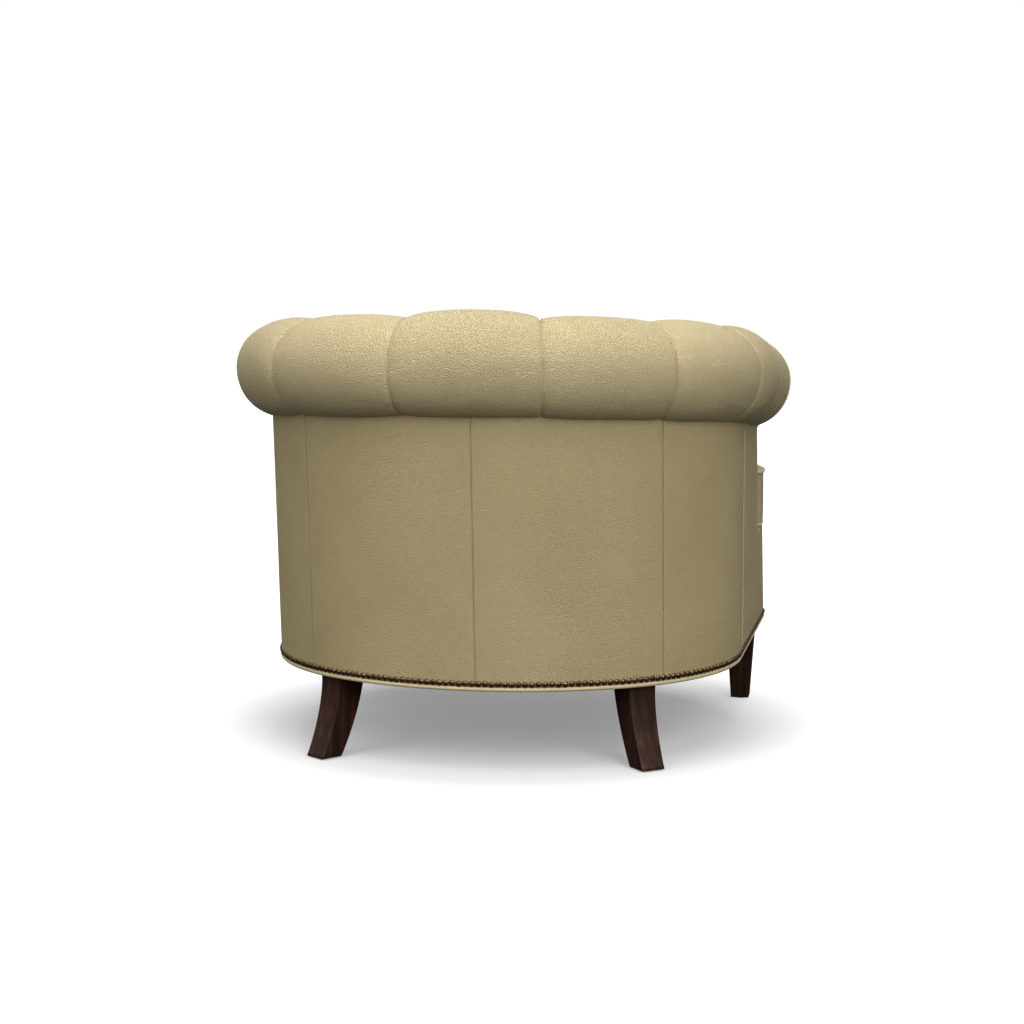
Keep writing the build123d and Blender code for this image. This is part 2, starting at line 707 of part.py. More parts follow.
def inner_face(depth, front_y, z):
    """Face inside the tub at one height, with parallel sides."""
    return tub_face(depth, lean_at(z), 0.0, front_y, z)


def deck_layer(z0, z1):
    """T-shaped layer of the deck, inside the pads and out to the front corners."""
    well = extrude(inner_face(CUSHION_SIDE_DEPTH, facing_front_y - FIT, z0), z1 - z0, dir=(0, 0, 1))
    lip = span_box(-far, far, front_border_inner_y + SEAT, facing_front_y - FIT, z0, z1)
    lip_room = tub_block(PANEL_THICKNESS + FIT, FRONT_Y - RAIL_THICKNESS)
    return well + (lip & lip_room)


cover_top_z = cover_bottom_z + SPRING_COVER_THICKNESS
node("spring_cover", deck_layer(cover_bottom_z, cover_top_z))
node("deck_pad", deck_layer(cover_top_z, SEAT_DECK_Z))


# Loose seat cushion

cushion_bottom_z = SEAT_DECK_Z + FIT
cushion_top_z = cushion_bottom_z + CUSHION_HEIGHT
cushion_front_y = FRONT_Y - CUSHION_OVERHANG
ear_back_y = facing_front_y - CUSHION_WELT / 2 - CUSHION_GAP


def cushion_plan(inset):
    """T-shaped plan with a front edge drawn in a little between its corners."""
    well = inner_face(CUSHION_SIDE_DEPTH + 2 * FIT, ear_back_y - CUSHION_CORNER_RADIUS, cushion_bottom_z)
    half = CUSHION_EAR_HALF_WIDTH
    front = make_face([
        Line((half, ear_back_y), (-half, ear_back_y)),
        Line((-half, ear_back_y), (-half, cushion_front_y)),
        ThreePointArc((-half, cushion_front_y), (0, cushion_front_y + CUSHION_DRAW_IN), (half, cushion_front_y)),
        Line((half, cushion_front_y), (half, ear_back_y)),
    ])
    plan = Pos(0, 0, -cushion_bottom_z) * well + front
    outer = [v for v in plan.vertices() if abs(abs(v.X) - half) < 1]
    plan = fillet(outer, CUSHION_CORNER_RADIUS)
    notch = [v for v in plan.vertices() if abs(v.Y - ear_back_y) < 1 and abs(v.X) < half - CUSHION_CORNER_RADIUS - 1]
    plan = fillet(notch, CUSHION_NOTCH_RADIUS)
    return offset(plan, -inset, kind=Kind.ARC) if inset else plan


def cushion_form(inset, bottom_z, edge_z, crown_z):
    """T prism with a domed top that stands a little inside its edge."""
    body = Pos(0, 0, bottom_z) * extrude(cushion_plan(inset), edge_z - bottom_z)
    middle_y = (cushion_front_y + BACK_Y - CUSHION_SIDE_DEPTH) / 2
    reach = sqrt(CUSHION_EAR_HALF_WIDTH ** 2 + (middle_y - cushion_front_y) ** 2)
    rise = crown_z - edge_z
    dome_r = (reach ** 2 + rise ** 2) / (2 * rise)
    top = Pos(0, 0, edge_z) * extrude(cushion_plan(inset + CUSHION_TOP_INSET), 2 * rise)
    dome = Pos(0, middle_y, crown_z - dome_r) * Sphere(dome_r)
    return body + (top & dome)


def cushion_welt(z):
    path = Pos(0, 0, z) * cushion_plan(0).face().outer_wire()
    section = Plane(origin=path @ 0, z_dir=path % 0) * Circle(CUSHION_WELT / 2)
    groove = Plane(origin=path @ 0, z_dir=path % 0) * Circle(CUSHION_WELT / 2 + SEAT)
    return sweep(section, path), sweep(groove, path)


def seat_cushion():
    crown_z = cushion_top_z + CUSHION_CROWN
    outer = cushion_form(CUSHION_WELT / 4, cushion_bottom_z, cushion_top_z, crown_z)
    core_inset = CUSHION_WELT + CUSHION_COVER
    core_low = cushion_bottom_z + CUSHION_COVER
    core_high = cushion_top_z - CUSHION_COVER
    core = cushion_form(core_inset, core_low, core_high, crown_z - CUSHION_COVER)
    welts = []
    for z in (cushion_bottom_z + CUSHION_WELT / 2, cushion_top_z - CUSHION_WELT / 2):
        welt, groove = cushion_welt(z)
        welts.append(welt)
        outer -= groove
    cover = outer - core
    top_seam = cushion_top_z - CUSHION_WELT / 2
    low_seam = cushion_bottom_z + CUSHION_WELT / 2
    node("cushion_top", above(cover, top_seam))
    node("cushion_boxing", below(above(cover, low_seam), top_seam))
    node("cushion_bottom", below(cover, low_seam))
    node("cushion_core", core)
    node("cushion_welts", *welts)


seat_cushion()
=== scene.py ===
import json
import math

import bmesh
import bpy
import numpy as np
from mathutils import Matrix, Vector

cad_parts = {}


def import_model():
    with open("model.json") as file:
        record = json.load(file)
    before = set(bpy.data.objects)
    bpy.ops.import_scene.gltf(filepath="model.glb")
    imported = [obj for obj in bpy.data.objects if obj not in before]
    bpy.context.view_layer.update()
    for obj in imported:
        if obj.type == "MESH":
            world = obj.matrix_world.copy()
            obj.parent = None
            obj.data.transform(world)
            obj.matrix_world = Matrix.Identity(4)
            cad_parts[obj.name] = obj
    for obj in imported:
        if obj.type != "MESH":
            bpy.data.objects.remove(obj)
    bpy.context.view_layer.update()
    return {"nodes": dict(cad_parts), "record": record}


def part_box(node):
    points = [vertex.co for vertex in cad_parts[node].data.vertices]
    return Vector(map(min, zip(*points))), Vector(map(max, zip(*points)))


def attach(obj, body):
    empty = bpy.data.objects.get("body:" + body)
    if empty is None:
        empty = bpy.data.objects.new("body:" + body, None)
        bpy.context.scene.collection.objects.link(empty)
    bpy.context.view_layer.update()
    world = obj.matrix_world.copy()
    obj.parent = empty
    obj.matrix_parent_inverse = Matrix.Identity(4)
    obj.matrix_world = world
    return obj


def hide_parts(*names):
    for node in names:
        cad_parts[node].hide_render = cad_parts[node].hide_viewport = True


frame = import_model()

# Leather barrel armchair. Metres, +Z up, the sitter faces -Y, +X is the sitter's left.

# Sizes shared with the solids
OVERALL_HEIGHT = 0.747
BASE_Z = 0.137
SEAT_DECK_Z = 0.316
BACK_RADIUS = 0.470
BACK_HALF = math.radians(30.0)
SIDE_RADIUS = 0.330
SIDE_FLARE = math.radians(1.5)
BACK_Y = 0.350
FRONT_Y = -0.448
ARM_FRONT_Y = -0.345
LEAN = math.tan(math.radians(5.5))
FALL = math.tan(math.radians(5.64))
ROLL_HALF_WIDTH = 0.083
ROLL_HALF_HEIGHT = 0.078
ROLL_UNDER_HEIGHT = 0.0864
MIDDLE_PILLOW_RISE = 0.007
ROLL_INSET = 0.021
ROLL_LIFT = 0.082
PLEAT_ANGLE = math.radians(28.0)
ARM_PLEAT_PITCH = 0.190
PANEL_THICKNESS = 0.008
PAD_BACK_DEPTH = 0.072
PAD_FACE_DEPTH = 0.098
PAD_CROWN = 0.012
PAD_BOTTOM_Z = 0.298
FACING_THICKNESS = 0.010
SEAM_LENGTH = 0.318
ARM_SEAM_Y = -0.020
WELT_RADIUS = 0.0032
NAIL_Z = 0.1475
RAIL_BOTTOM_Z = 0.140
LEG_FLOOR_GAP = 0.002
REAR_LEG_ANGLE = math.radians(36.2)
REAR_LEG_INSET = 0.036
REAR_LEG_TURN = math.radians(38.4)
REAR_LEG_SWEEP = 0.041
REAR_LEG_TOP = 0.052
REAR_LEG_FOOT = 0.042
FRONT_LEG_INSET = 0.0325
FRONT_LEG_SETBACK = 0.105
FRONT_LEG_TOP = 0.052
FRONT_LEG_FOOT = 0.033
CUSHION_SIDE_DEPTH = 0.1206
CUSHION_HEIGHT = 0.106
CUSHION_CROWN = 0.022
CUSHION_EAR_HALF = 0.411
CUSHION_EAR_BACK_Y = -0.3595
CUSHION_FRONT_Y = -0.4514
CUSHION_CORNER = 0.026
CUSHION_NOTCH = 0.012
CUSHION_DRAW_IN = 0.005
CUSHION_WELT_RADIUS = 0.0035
CUSHION_BOTTOM_Z = 0.3163

# Looks only
PIPING_RADIUS = 0.0038
PIPING_Z = 0.1388
PIPING_PROUD = 0.0022
NAIL_RADIUS = 0.0052
NAIL_HEIGHT = 0.0034
NAIL_PITCH = 0.0107
NAIL_WANDER = 0.00025
NAIL_TILT = 0.035
PLEAT_CREASE = 0.0016
PLEAT_CREASE_REACH = 0.0035
FINE_CREASE = 0.0007
FINE_CREASE_SIZE = 0.022
ROLL_UNEVEN = 0.0010
ROLL_UNEVEN_SIZE = 0.11
PLEAT_DEPTH = 0.0085
UNDER_PLEAT_SHARE = 0.35
PLEAT_SHIFTS = (0.0, 0.0, -0.016, 0.006, 0.003, -0.003, 0.010, 0.0, 0.0, 0.0)
PLEAT_ROUND = 2.3
BUTTON_SHARE = 0.74
BUTTON_RADIUS = 0.011
BUTTON_DIMPLE = 0.011
BUTTON_PROUD = 0.006
BUTTON_HEIGHT = 0.0065
DIMPLE_REACH = 0.020
ARC_FADE = 0.1
NORMAL_STEP = 0.01
LUMBAR = 0.010
LUMBAR_SHARE = 0.53
LUMBAR_SPREAD = 0.13
VALLEY = 0.012
VALLEY_SPREAD = 0.10
SEAM_DEPTH = 0.0006
SEAM_REACH = 0.003
PANEL_PUFF = 0.0004
PANEL_SPARE = 0.001
WELD_GAP = 0.00001
FRONT_PUFF = 0.0006
PANEL_UNEVEN_SIZE = 0.16
FRONT_UNEVEN_SIZE = 0.18
FACING_INSET = 0.0024
FACING_PIPING_RADIUS = 0.0024
FACING_CROWN = 0.62
FACING_MIDDLE = (0.355, 0.520)
FACING_PUFF = 0.0045
FACING_STEP = 0.004
FACING_DECK_GAP = 0.0006
FACING_SIDE_GAP = 0.0005
FACING_LAP = 0.004
FACING_SUNK = 0.001
FACING_RIM = 0.005
PIPING_STEP = 0.006
DISTANCE_STEP = 0.004
TOP_PIPING_INSET = 0.0014
LOW_PIPING_INSET = 0.004
BOXING_INSET = 0.0014
ARM_END_SHAPE = 0.3
DECK_CORNER = 0.004
DECK_TUCK = 0.012
DECK_UNDER_FACING = 0.008
DECK_EAR_HALF = 0.396
DECK_FRONT_GAP = 0.0004
DECK_DROP = 0.0002
DECK_EASE = 0.004
CUSHION_VOXEL = 0.006
CUSHION_SWELL = 0.006
CUSHION_UNDER_GAP = 0.001
CUSHION_TOP_GAP = 0.002
CROWN_REACH = 0.20
CROWN_UNEVEN = 0.0016
CROWN_UNEVEN_SIZE = 0.075
CROWN_EVEN_EDGE = 0.05
SEAM_HOLD_DEPTH = 0.008
SEAM_HOLD_HEIGHT = 0.005
STITCH_PITCH = 0.0062
STITCH_LENGTH = 0.0032
STITCH_RADIUS = 0.0006
STITCH_ASIDE = 0.004
STITCH_ARCH = 1.6
STITCH_LOW_MARGIN = 0.016
STITCH_TOP_MARGIN = 0.012
LEG_EDGE = 0.0018
LEG_SWEEP_BEND = 1.7
FOOT_EASE = 0.97
FOOT_EASE_HEIGHT = 0.001
REAR_LEG_TAPER = 0.7
FRONT_LEG_TAPER = 1.0
DUST_COVER_INSET = 0.012
DUST_COVER_SAG = 0.006
DUST_COVER_DROP = 0.0012
DUST_COVER_STEP = 0.012
DUST_COVER_MIDDLE = (0.0, -0.05)

# Worked out from those
ROLL_CENTRE_Z = OVERALL_HEIGHT - MIDDLE_PILLOW_RISE - ROLL_HALF_HEIGHT
JUNCTION_Z = ROLL_CENTRE_Z - ROLL_LIFT + FALL * ROLL_INSET
JUNCTION_Y = BACK_Y + (JUNCTION_Z - BASE_Z) * LEAN
PANEL_BOTTOM_Z = BASE_Z + 2 * WELT_RADIUS
SIDE_REACH = BACK_RADIUS - SIDE_RADIUS
SIDE_X = SIDE_REACH * math.sin(BACK_HALF)
TOP_BACK_Y = BACK_Y - BACK_RADIUS + (JUNCTION_Z - BASE_Z) * LEAN
TOP_SIDE_Y = TOP_BACK_Y + SIDE_REACH * math.cos(BACK_HALF)
BASE_SIDE_Y = BACK_Y - BACK_RADIUS + SIDE_REACH * math.cos(BACK_HALF)
ROLL_BACK_R = BACK_RADIUS - ROLL_INSET
ROLL_SIDE_R = SIDE_RADIUS - ROLL_INSET
ROLL_BACK_LENGTH = ROLL_BACK_R * BACK_HALF
ROLL_ARC_LENGTH = ROLL_BACK_LENGTH + ROLL_SIDE_R * (math.pi / 2 - BACK_HALF)
ROLL_END = ROLL_ARC_LENGTH + TOP_SIDE_Y - ARM_FRONT_Y
CUSHION_TOP_Z = CUSHION_BOTTOM_Z + CUSHION_HEIGHT


# Mesh helpers

def linked(name, data):
    """New object of the given data, in the scene."""
    made = bpy.data.objects.new(name, data)
    bpy.context.scene.collection.objects.link(made)
    return made


def add_mesh(name, points, faces, material, body="chair"):
    """New object from points and faces, riding on a body."""
    mesh = bpy.data.meshes.new(name)
    mesh.from_pydata(np.asarray(points).reshape(-1, 3).tolist(), [], faces)
    mesh.validate()
    mesh.polygons.foreach_set("use_smooth", [True] * len(mesh.polygons))
    mesh.update()
    mesh.materials.append(material)
    piece = linked(name, mesh)
    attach(piece, body)
    return piece


def grid_faces(columns, rows, wrap_columns=False, wrap_rows=False, first=0):
    """Quads of a grid whose points are stored column by column."""
    faces = []
    for i in range(columns if wrap_columns else columns - 1):
        a = first + i * rows
        b = first + (i + 1) % columns * rows
        for j in range(rows if wrap_rows else rows - 1):
            k = (j + 1) % rows
            faces.append((a + j, b + j, b + k, a + k))
    return faces


def ring_face(count, ring=0):
    """The face that closes one ring of a stack of rings."""
    return tuple(ring * count + k for k in range(count))


def shifted(faces, first):
    """The same faces on points that start at first."""
    return [tuple(first + k for k in face) for face in faces]


def at_height(flat, z):
    """Plan points at one height."""
    return np.column_stack([flat, np.full(len(flat), z)])


def edit_mesh(piece, operation):
    mesh = bmesh.new()
    mesh.from_mesh(piece.data)
    operation(mesh)
    mesh.to_mesh(piece.data)
    mesh.free()


def outward(piece):
    """Turns a closed or open mesh's faces to point the same way, outwards."""
    edit_mesh(piece, lambda mesh: bmesh.ops.recalc_face_normals(mesh, faces=mesh.faces))
    return piece


def mirror_points(points):
    return np.asarray(points) * np.array([-1.0, 1.0, 1.0])


def flip(faces):
    return [face[::-1] for face in faces]


def unit(vectors):
    return vectors / np.maximum(np.linalg.norm(vectors, axis=-1, keepdims=True), 1e-12)


def tube(path, radius, up, sides=10):
    """Points and faces of a round tube along a closed line; up is roughly square to the line."""
    ahead = unit(np.roll(path, -1, 0) - np.roll(path, 1, 0))
    lift = unit(up - ahead * (ahead @ np.asarray(up))[:, None])
    across = np.cross(ahead, lift)
    turn = np.linspace(0, 2 * np.pi, sides, endpoint=False)
    ring = across[:, None] * np.cos(turn)[None, :, None] + lift[:, None] * np.sin(turn)[None, :, None]
    points = path[:, None] + radius * ring
    return points, grid_faces(len(path), sides, wrap_columns=True, wrap_rows=True)


def resampled(path, step):
    """Points spaced evenly along a closed line."""
    path = np.vstack([path, path[:1]])
    length = np.concatenate([[0], np.cumsum(np.linalg.norm(np.diff(path, axis=0), axis=1))])
    count = max(int(round(length[-1] / step)), 3)
    places = np.linspace(0, length[-1], count, endpoint=False)
    return np.stack([np.interp(places, length, path[:, k]) for k in range(path.shape[1])], 1)


def waves(points, size, seed, count=7):
    """Smooth unevenness from -1 to 1: a few plane waves of about the given length."""
    draw = np.random.default_rng(seed)
    total = np.zeros(np.asarray(points).shape[:-1])
    for i in range(count):
        way = unit(draw.normal(size=3))
        length = size * draw.uniform(0.7, 1.5)
        total += np.sin(points @ way * (2 * np.pi / length) + draw.uniform(0, 2 * np.pi))
    return total / count ** 0.5 / 1.5


def shoulder(distance, reach):
    """1 at an edge, falling round to 0 at reach from it."""
    share = np.clip(1 - distance / reach, 0, 1)
    return 1 - np.sqrt(1 - share ** 2)


def smooth_step(share):
    """0 to 1, level at both ends."""
    return share ** 2 * (3 - 2 * share)


def edge_spaced(count, mix=0.6):
    """Shares from 0 to 1, closer together at both ends."""
    even = np.linspace(0, 1, count)
    return (1 - mix) * even + mix * (1 - np.cos(np.pi * even)) / 2


def plan_area(loop):
    """Area inside a closed plan line, less than 0 if it runs clockwise."""
    return 0.5 * np.sum(loop[:, 0] * np.roll(loop[:, 1], -1) - np.roll(loop[:, 0], -1) * loop[:, 1])


def moved_in(loop, distance):
    """A closed plan line moved inwards."""
    ahead = unit(np.roll(loop, -1, 0) - np.roll(loop, 1, 0))
    normal = np.stack([ahead[:, 1], -ahead[:, 0]], 1)
    return loop - normal * distance * np.sign(plan_area(loop))


# Material helpers

def new_material(name):
    material = bpy.data.materials.new(name)
    material.use_nodes = True
    return material, material.node_tree, material.node_tree.nodes["Principled BSDF"]


def feed(tree, node, *places, **names):
    """Joins sockets to a node's inputs or sets values there, by order or by name with _ for a space."""
    pairs = list(zip(node.inputs, places))
    pairs += [(node.inputs[name.replace("_", " ")], value) for name, value in names.items()]
    for socket, value in pairs:
        if isinstance(value, bpy.types.NodeSocket):
            tree.links.new(value, socket)
        elif value is not None:
            socket.default_value = value


def put(tree, kind, *places, settings=None, **names):
    """Adds a shader node with its own settings and feeds its inputs."""
    made = tree.nodes.new("ShaderNode" + kind)
    for key, value in (settings or {}).items():
        setattr(made, key, value)
    feed(tree, made, *places, **names)
    return made


def ramp(tree, source, stops):
    """Colour ramp from a value; stops are (place, colour)."""
    made = put(tree, "ValToRGB", source)
    while len(made.color_ramp.elements) < len(stops):
        made.color_ramp.elements.new(0.5)
    for element, (place, colour) in zip(made.color_ramp.elements, stops):
        element.position = place
        element.color = (*colour, 1.0)
    return made.outputs[0]


def span(tree, source, low, high, to_low, to_high):
    """A value carried from one range to another."""
    return put(tree, "MapRange", source, low, high, to_low, to_high).outputs[0]


def place_coords(tree, stretch=(1.0, 1.0, 1.0), turn=(0.0, 0.0, 0.0)):
    coords = put(tree, "TexCoord").outputs["Object"]
    return put(tree, "Mapping", Vector=coords, Scale=stretch, Rotation=turn).outputs[0]


def noise(tree, vector, scale, detail=3.0, rough=0.5):
    return put(tree, "TexNoise", Vector=vector, Scale=scale, Detail=detail, Roughness=rough).outputs[0]


def mix_colour(tree, factor, source, colour):
    """A colour socket mixed with a plain colour by a factor socket."""
    made = put(tree, "Mix", factor, settings={"data_type": "RGBA"})
    tree.links.new(source, made.inputs[6])
    made.inputs[7].default_value = (*colour, 1.0)
    return made.outputs[2]


def bump(tree, height, strength, distance, below=None):
    return put(tree, "Bump", Height=height, Strength=strength, Distance=distance, Normal=below).outputs[0]


def math_node(tree, kind, a, b):
    return put(tree, "Math", a, b, settings={"operation": kind}).outputs[0]


# Materials

def leather_material(name, cell_scale, groove_painted_shade, depth, shine, tones):
    """Pebbled khaki leather: grain cells, fine pores, soft creases and mottled colour, with painted shade
    darkening the grooves between the grain cells.
    """
    material, tree, shader = new_material(name)
    coords = place_coords(tree, (1.0, 1.0, 1.35), (0.5, 0.35, 0.2))
    plain = place_coords(tree)
    drift = put(tree, "TexNoise", Vector=coords, Scale=90.0, Detail=2.0).outputs[1]
    pushed = put(tree, "VectorMath", drift, (0.005, 0.005, 0.005), coords,
                 settings={"operation": "MULTIPLY_ADD"})
    cells = put(tree, "TexVoronoi", settings={"feature": "DISTANCE_TO_EDGE"}, Vector=pushed.outputs[0],
                Scale=cell_scale)
    grain = span(tree, cells.outputs[0], 0.0, 0.22, 0.0, 1.0)
    pores = noise(tree, plain, 1300.0, 2.0)
    creases = noise(tree, coords, 42.0, 4.0, 0.6)
    mottle = noise(tree, plain, 5.0, 3.0)
    toned = ramp(tree, mottle, ((0.30, tones[0]), (0.70, tones[1])))
    # Painted shade: the colour is drawn towards dark brown in the grooves between the grain cells, by the
    # given amount.
    shaded = mix_colour(tree, span(tree, grain, 0.0, 0.6, groove_painted_shade, 0.0), toned, (0.195, 0.152, 0.076))
    height = math_node(tree, "ADD", grain, math_node(tree, "MULTIPLY", pores, 0.35))
    soft = bump(tree, creases, 0.35, 0.0015)
    feed(tree, shader, Base_Color=shaded, Roughness=span(tree, creases, 0.3, 0.7, 0.42, 0.54),
         Specular_IOR_Level=shine, Normal=bump(tree, height, depth, 0.0013, soft))
    return material


def thread_material():
    """Waxed thread, a shade lighter than the leather, with a twist."""
    material, tree, shader = new_material("thread")
    twist = noise(tree, place_coords(tree, (1.0, 1.0, 0.5)), 2200.0, 1.0)
    tone = ramp(tree, twist, ((0.3, (0.62, 0.56, 0.38)), (0.7, (0.80, 0.74, 0.55))))
    feed(tree, shader, Base_Color=tone, Roughness=0.55, Normal=bump(tree, twist, 0.3, 0.0003))
    return material


def leg_wood_material():
    """Dark stained wood with a reddish straight grain under satin lacquer."""
    material, tree, shader = new_material("leg_wood")
    long_grain = place_coords(tree, (1.0, 1.0, 0.06))
    streaks = noise(tree, long_grain, 95.0, 6.0, 0.65)
    pores = noise(tree, long_grain, 700.0, 2.0)
    patches = noise(tree, place_coords(tree, (1.0, 1.0, 0.3)), 14.0, 2.0)
    dark = ramp(tree, streaks, ((0.36, (0.010, 0.0046, 0.0032)), (0.56, (0.036, 0.0120, 0.0062)),
                                (0.72, (0.090, 0.024, 0.011))))
    toned = mix_colour(tree, span(tree, patches, 0.35, 0.7, 0.0, 0.55), dark, (0.017, 0.0072, 0.0050))
    feed(tree, shader, Base_Color=toned, Roughness=span(tree, streaks, 0.3, 0.7, 0.34, 0.46),
         Specular_IOR_Level=0.16, Coat_Weight=0.06, Coat_Roughness=0.3,
         Normal=bump(tree, pores, 0.16, 0.0003))
    return material


def frame_wood_material():
    """Pale sawn wood with a straight grain."""
    material, tree, shader = new_material("frame_wood")
    streaks = noise(tree, place_coords(tree, (1.0, 0.12, 0.12)), 130.0, 5.0, 0.6)
    tone = ramp(tree, streaks, ((0.3, (0.42, 0.28, 0.15)), (0.7, (0.66, 0.50, 0.33))))
    feed(tree, shader, Base_Color=tone, Roughness=0.7, Normal=bump(tree, streaks, 0.2, 0.0006))
    return material


def nail_material():
    """Antique bronze heads: brown metal, darker in patches."""
    material, tree, shader = new_material("nail_bronze")
    patina = noise(tree, place_coords(tree), 210.0, 3.0, 0.6)
    scratches = noise(tree, place_coords(tree), 900.0, 2.0)
    tone = ramp(tree, patina, ((0.32, (0.034, 0.018, 0.011)), (0.68, (0.190, 0.105, 0.060))))
    feed(tree, shader, Base_Color=tone, Metallic=1.0, Roughness=span(tree, patina, 0.3, 0.7, 0.38, 0.22),
         Normal=bump(tree, scratches, 0.12, 0.0003))
    return material


def cloth_material(name, dark, light, scale, rough=0.9):
    """Woven or felted cloth: crossed threads and slubs."""
    material, tree, shader = new_material(name)
    coords = place_coords(tree)
    threads = [put(tree, "TexWave", settings={"bands_direction": way}, Vector=coords, Scale=scale,
                   Distortion=1.2, Detail=1.0).outputs[1] for way in ("X", "Y")]
    weave = math_node(tree, "MULTIPLY", *threads)
    woven = math_node(tree, "MULTIPLY", weave, 0.6)
    slubs = math_node(tree, "MULTIPLY", noise(tree, coords, scale / 6, 3.0), 0.5)
    tone = ramp(tree, math_node(tree, "ADD", woven, slubs), ((0.15, dark), (0.85, light)))
    feed(tree, shader, Base_Color=tone, Roughness=rough, Specular_IOR_Level=0.2,
         Normal=bump(tree, weave, 0.4, 0.0005))
    return material


def speckled_material(name, dark, light, rough, metallic=0.0):
    """Plain moulded or plated finish with a fine speckle."""
    material, tree, shader = new_material(name)
    speckle = noise(tree, place_coords(tree), 600.0, 3.0)
    tone = ramp(tree, speckle, ((0.35, dark), (0.65, light)))
    feed(tree, shader, Base_Color=tone, Metallic=metallic,
         Roughness=span(tree, speckle, 0.3, 0.7, rough, rough + 0.12))
    return material


# Painted light and shade: the roll, cushion, facings and buttons get a lighter copy of the khaki leather and
# the outside panels a darker copy, though the chair is covered in one leather.
LIT_KHAKI = ((0.395, 0.325, 0.172), (0.450, 0.374, 0.204))
SHADED_SHELL_KHAKI = ((0.354, 0.286, 0.145), (0.404, 0.330, 0.171))
PALE_KHAKI = ((0.450, 0.380, 0.210), (0.510, 0.435, 0.250))
leather = leather_material("leather", 270.0, 0.26, 0.85, 0.50, LIT_KHAKI)
shaded_shell_leather = leather_material("shaded_shell_leather", 390.0, 0.16, 0.65, 0.24, SHADED_SHELL_KHAKI)
piping_leather = leather_material("piping_leather", 390.0, 0.08, 0.40, 0.40, PALE_KHAKI)
thread = thread_material()
finishes = {
    "leather": leather,
    "leg_wood": leg_wood_material(),
    "frame_wood": frame_wood_material(),
    "glide_plastic": speckled_material("glide_plastic", (0.035, 0.034, 0.033), (0.055, 0.054, 0.052), 0.5),
    "clip_plastic": speckled_material("clip_plastic", (0.66, 0.66, 0.63), (0.76, 0.76, 0.73), 0.5),
    "steel": speckled_material("steel", (0.42, 0.42, 0.43), (0.60, 0.60, 0.61), 0.3, 1.0),
    "nail_bronze": nail_material(),
    "black_cloth": cloth_material("black_cloth", (0.012, 0.012, 0.012), (0.045, 0.044, 0.043), 900.0),
    "padding": cloth_material("padding", (0.52, 0.46, 0.33), (0.72, 0.66, 0.50), 700.0),
    "webbing": cloth_material("webbing", (0.25, 0.18, 0.09), (0.50, 0.39, 0.24), 500.0),
}
for row in frame["record"]["subparts"]:
    cad_node = frame["nodes"][row["node"]]
    cad_node.data.materials.clear()
    cad_node.data.materials.append(finishes[row["material_slot"]])


# Roll and inside pads

def stations(distance):
    """Axis point, plan angle, radius and run past the arcs at signed distances along the roll."""
    run = np.abs(distance)
    on_back = run <= ROLL_BACK_LENGTH
    angle = np.where(on_back, run / ROLL_BACK_R, BACK_HALF + (run - ROLL_BACK_LENGTH) / ROLL_SIDE_R)
    angle = np.minimum(angle, np.pi / 2)
    past = np.maximum(run - ROLL_ARC_LENGTH, 0)
    axis_x = np.where(on_back, 0.0, SIDE_X)
    axis_y = np.where(on_back, TOP_BACK_Y, TOP_SIDE_Y - past)
    return axis_x, axis_y, angle, np.where(on_back, BACK_RADIUS, SIDE_RADIUS), past


def section_points(distance, depth, z):
    """Points at depths from the shell and heights, for an array of columns by rows."""
    axis_x, axis_y, angle, radius, past = [value[:, None] for value in stations(distance)]
    drop = np.maximum(JUNCTION_Z - z, 0) * LEAN
    fade = np.clip(1 - past / ARC_FADE, 0, 1)
    reach = np.sqrt((radius - depth) ** 2 - (drop * np.sin(angle) * fade) ** 2) - drop * np.cos(angle)
    x = np.sign(distance)[:, None] * (axis_x + reach * np.sin(angle))
    return np.stack([x, axis_y + reach * np.cos(angle), z + 0 * x], -1)


def seat_z(distance, depth):
    """Height of the sloping plane that the roll sits on."""
    axis_x, axis_y, angle, radius, past = stations(distance)
    return JUNCTION_Z - FALL * (JUNCTION_Y - axis_y - (radius - depth) * np.cos(angle))


def arc_distance(angle):
    if angle <= BACK_HALF:
        return ROLL_BACK_R * angle
    return ROLL_BACK_LENGTH + ROLL_SIDE_R * (angle - BACK_HALF)


pleats = [arc_distance(PLEAT_ANGLE * (i + 0.5)) for i in range(3)]
pleats += [pleats[-1] + ARM_PLEAT_PITCH * (i + 1) for i in range(2)]
all_pleats = [-p for p in pleats[::-1]] + pleats
all_pleats = [place + shift for place, shift in zip(all_pleats, PLEAT_SHIFTS)]


def roll_columns(per_half=20, end_share=0.8):
    """Distances along the roll and the crown there, 0 in a pleat and 1 on a pillow."""
    step = np.linspace(-1, 1, 2 * per_half + 1)
    places = 0.5 * step + 0.5 * np.sin(step * np.pi / 2)
    crown = (1 - np.abs(places) ** PLEAT_ROUND) ** 0.5
    distances, crowns = [], []
    for a, b in zip(all_pleats[:-1], all_pleats[1:]):
        distances.append((a + b) / 2 + (b - a) / 2 * places[:-1])
        crowns.append(crown[:-1])
    keep = places <= end_share
    reach = (places[keep] + 1) / (places[keep][-1] + 1)
    last = all_pleats[-1] + (ROLL_END - all_pleats[-1]) * reach
    first = all_pleats[0] + (-ROLL_END - all_pleats[0]) * reach
    distances = np.concatenate([first[::-1], *distances, last])
    crowns = np.concatenate([crown[keep][::-1], *crowns, crown[keep]])
    repeat = np.concatenate([[False], np.diff(distances) < 1e-7])
    return distances[~repeat], crowns[~repeat]


def arm_fade(distance):
    """1 along the back and arms, falling to ARM_END_SHAPE where the arms end."""
    share = np.clip((np.abs(distance) - pleats[-1]) / (ROLL_END - pleats[-1]), 0, 1)
    return 1 - (1 - ARM_END_SHAPE) * smooth_step(share)


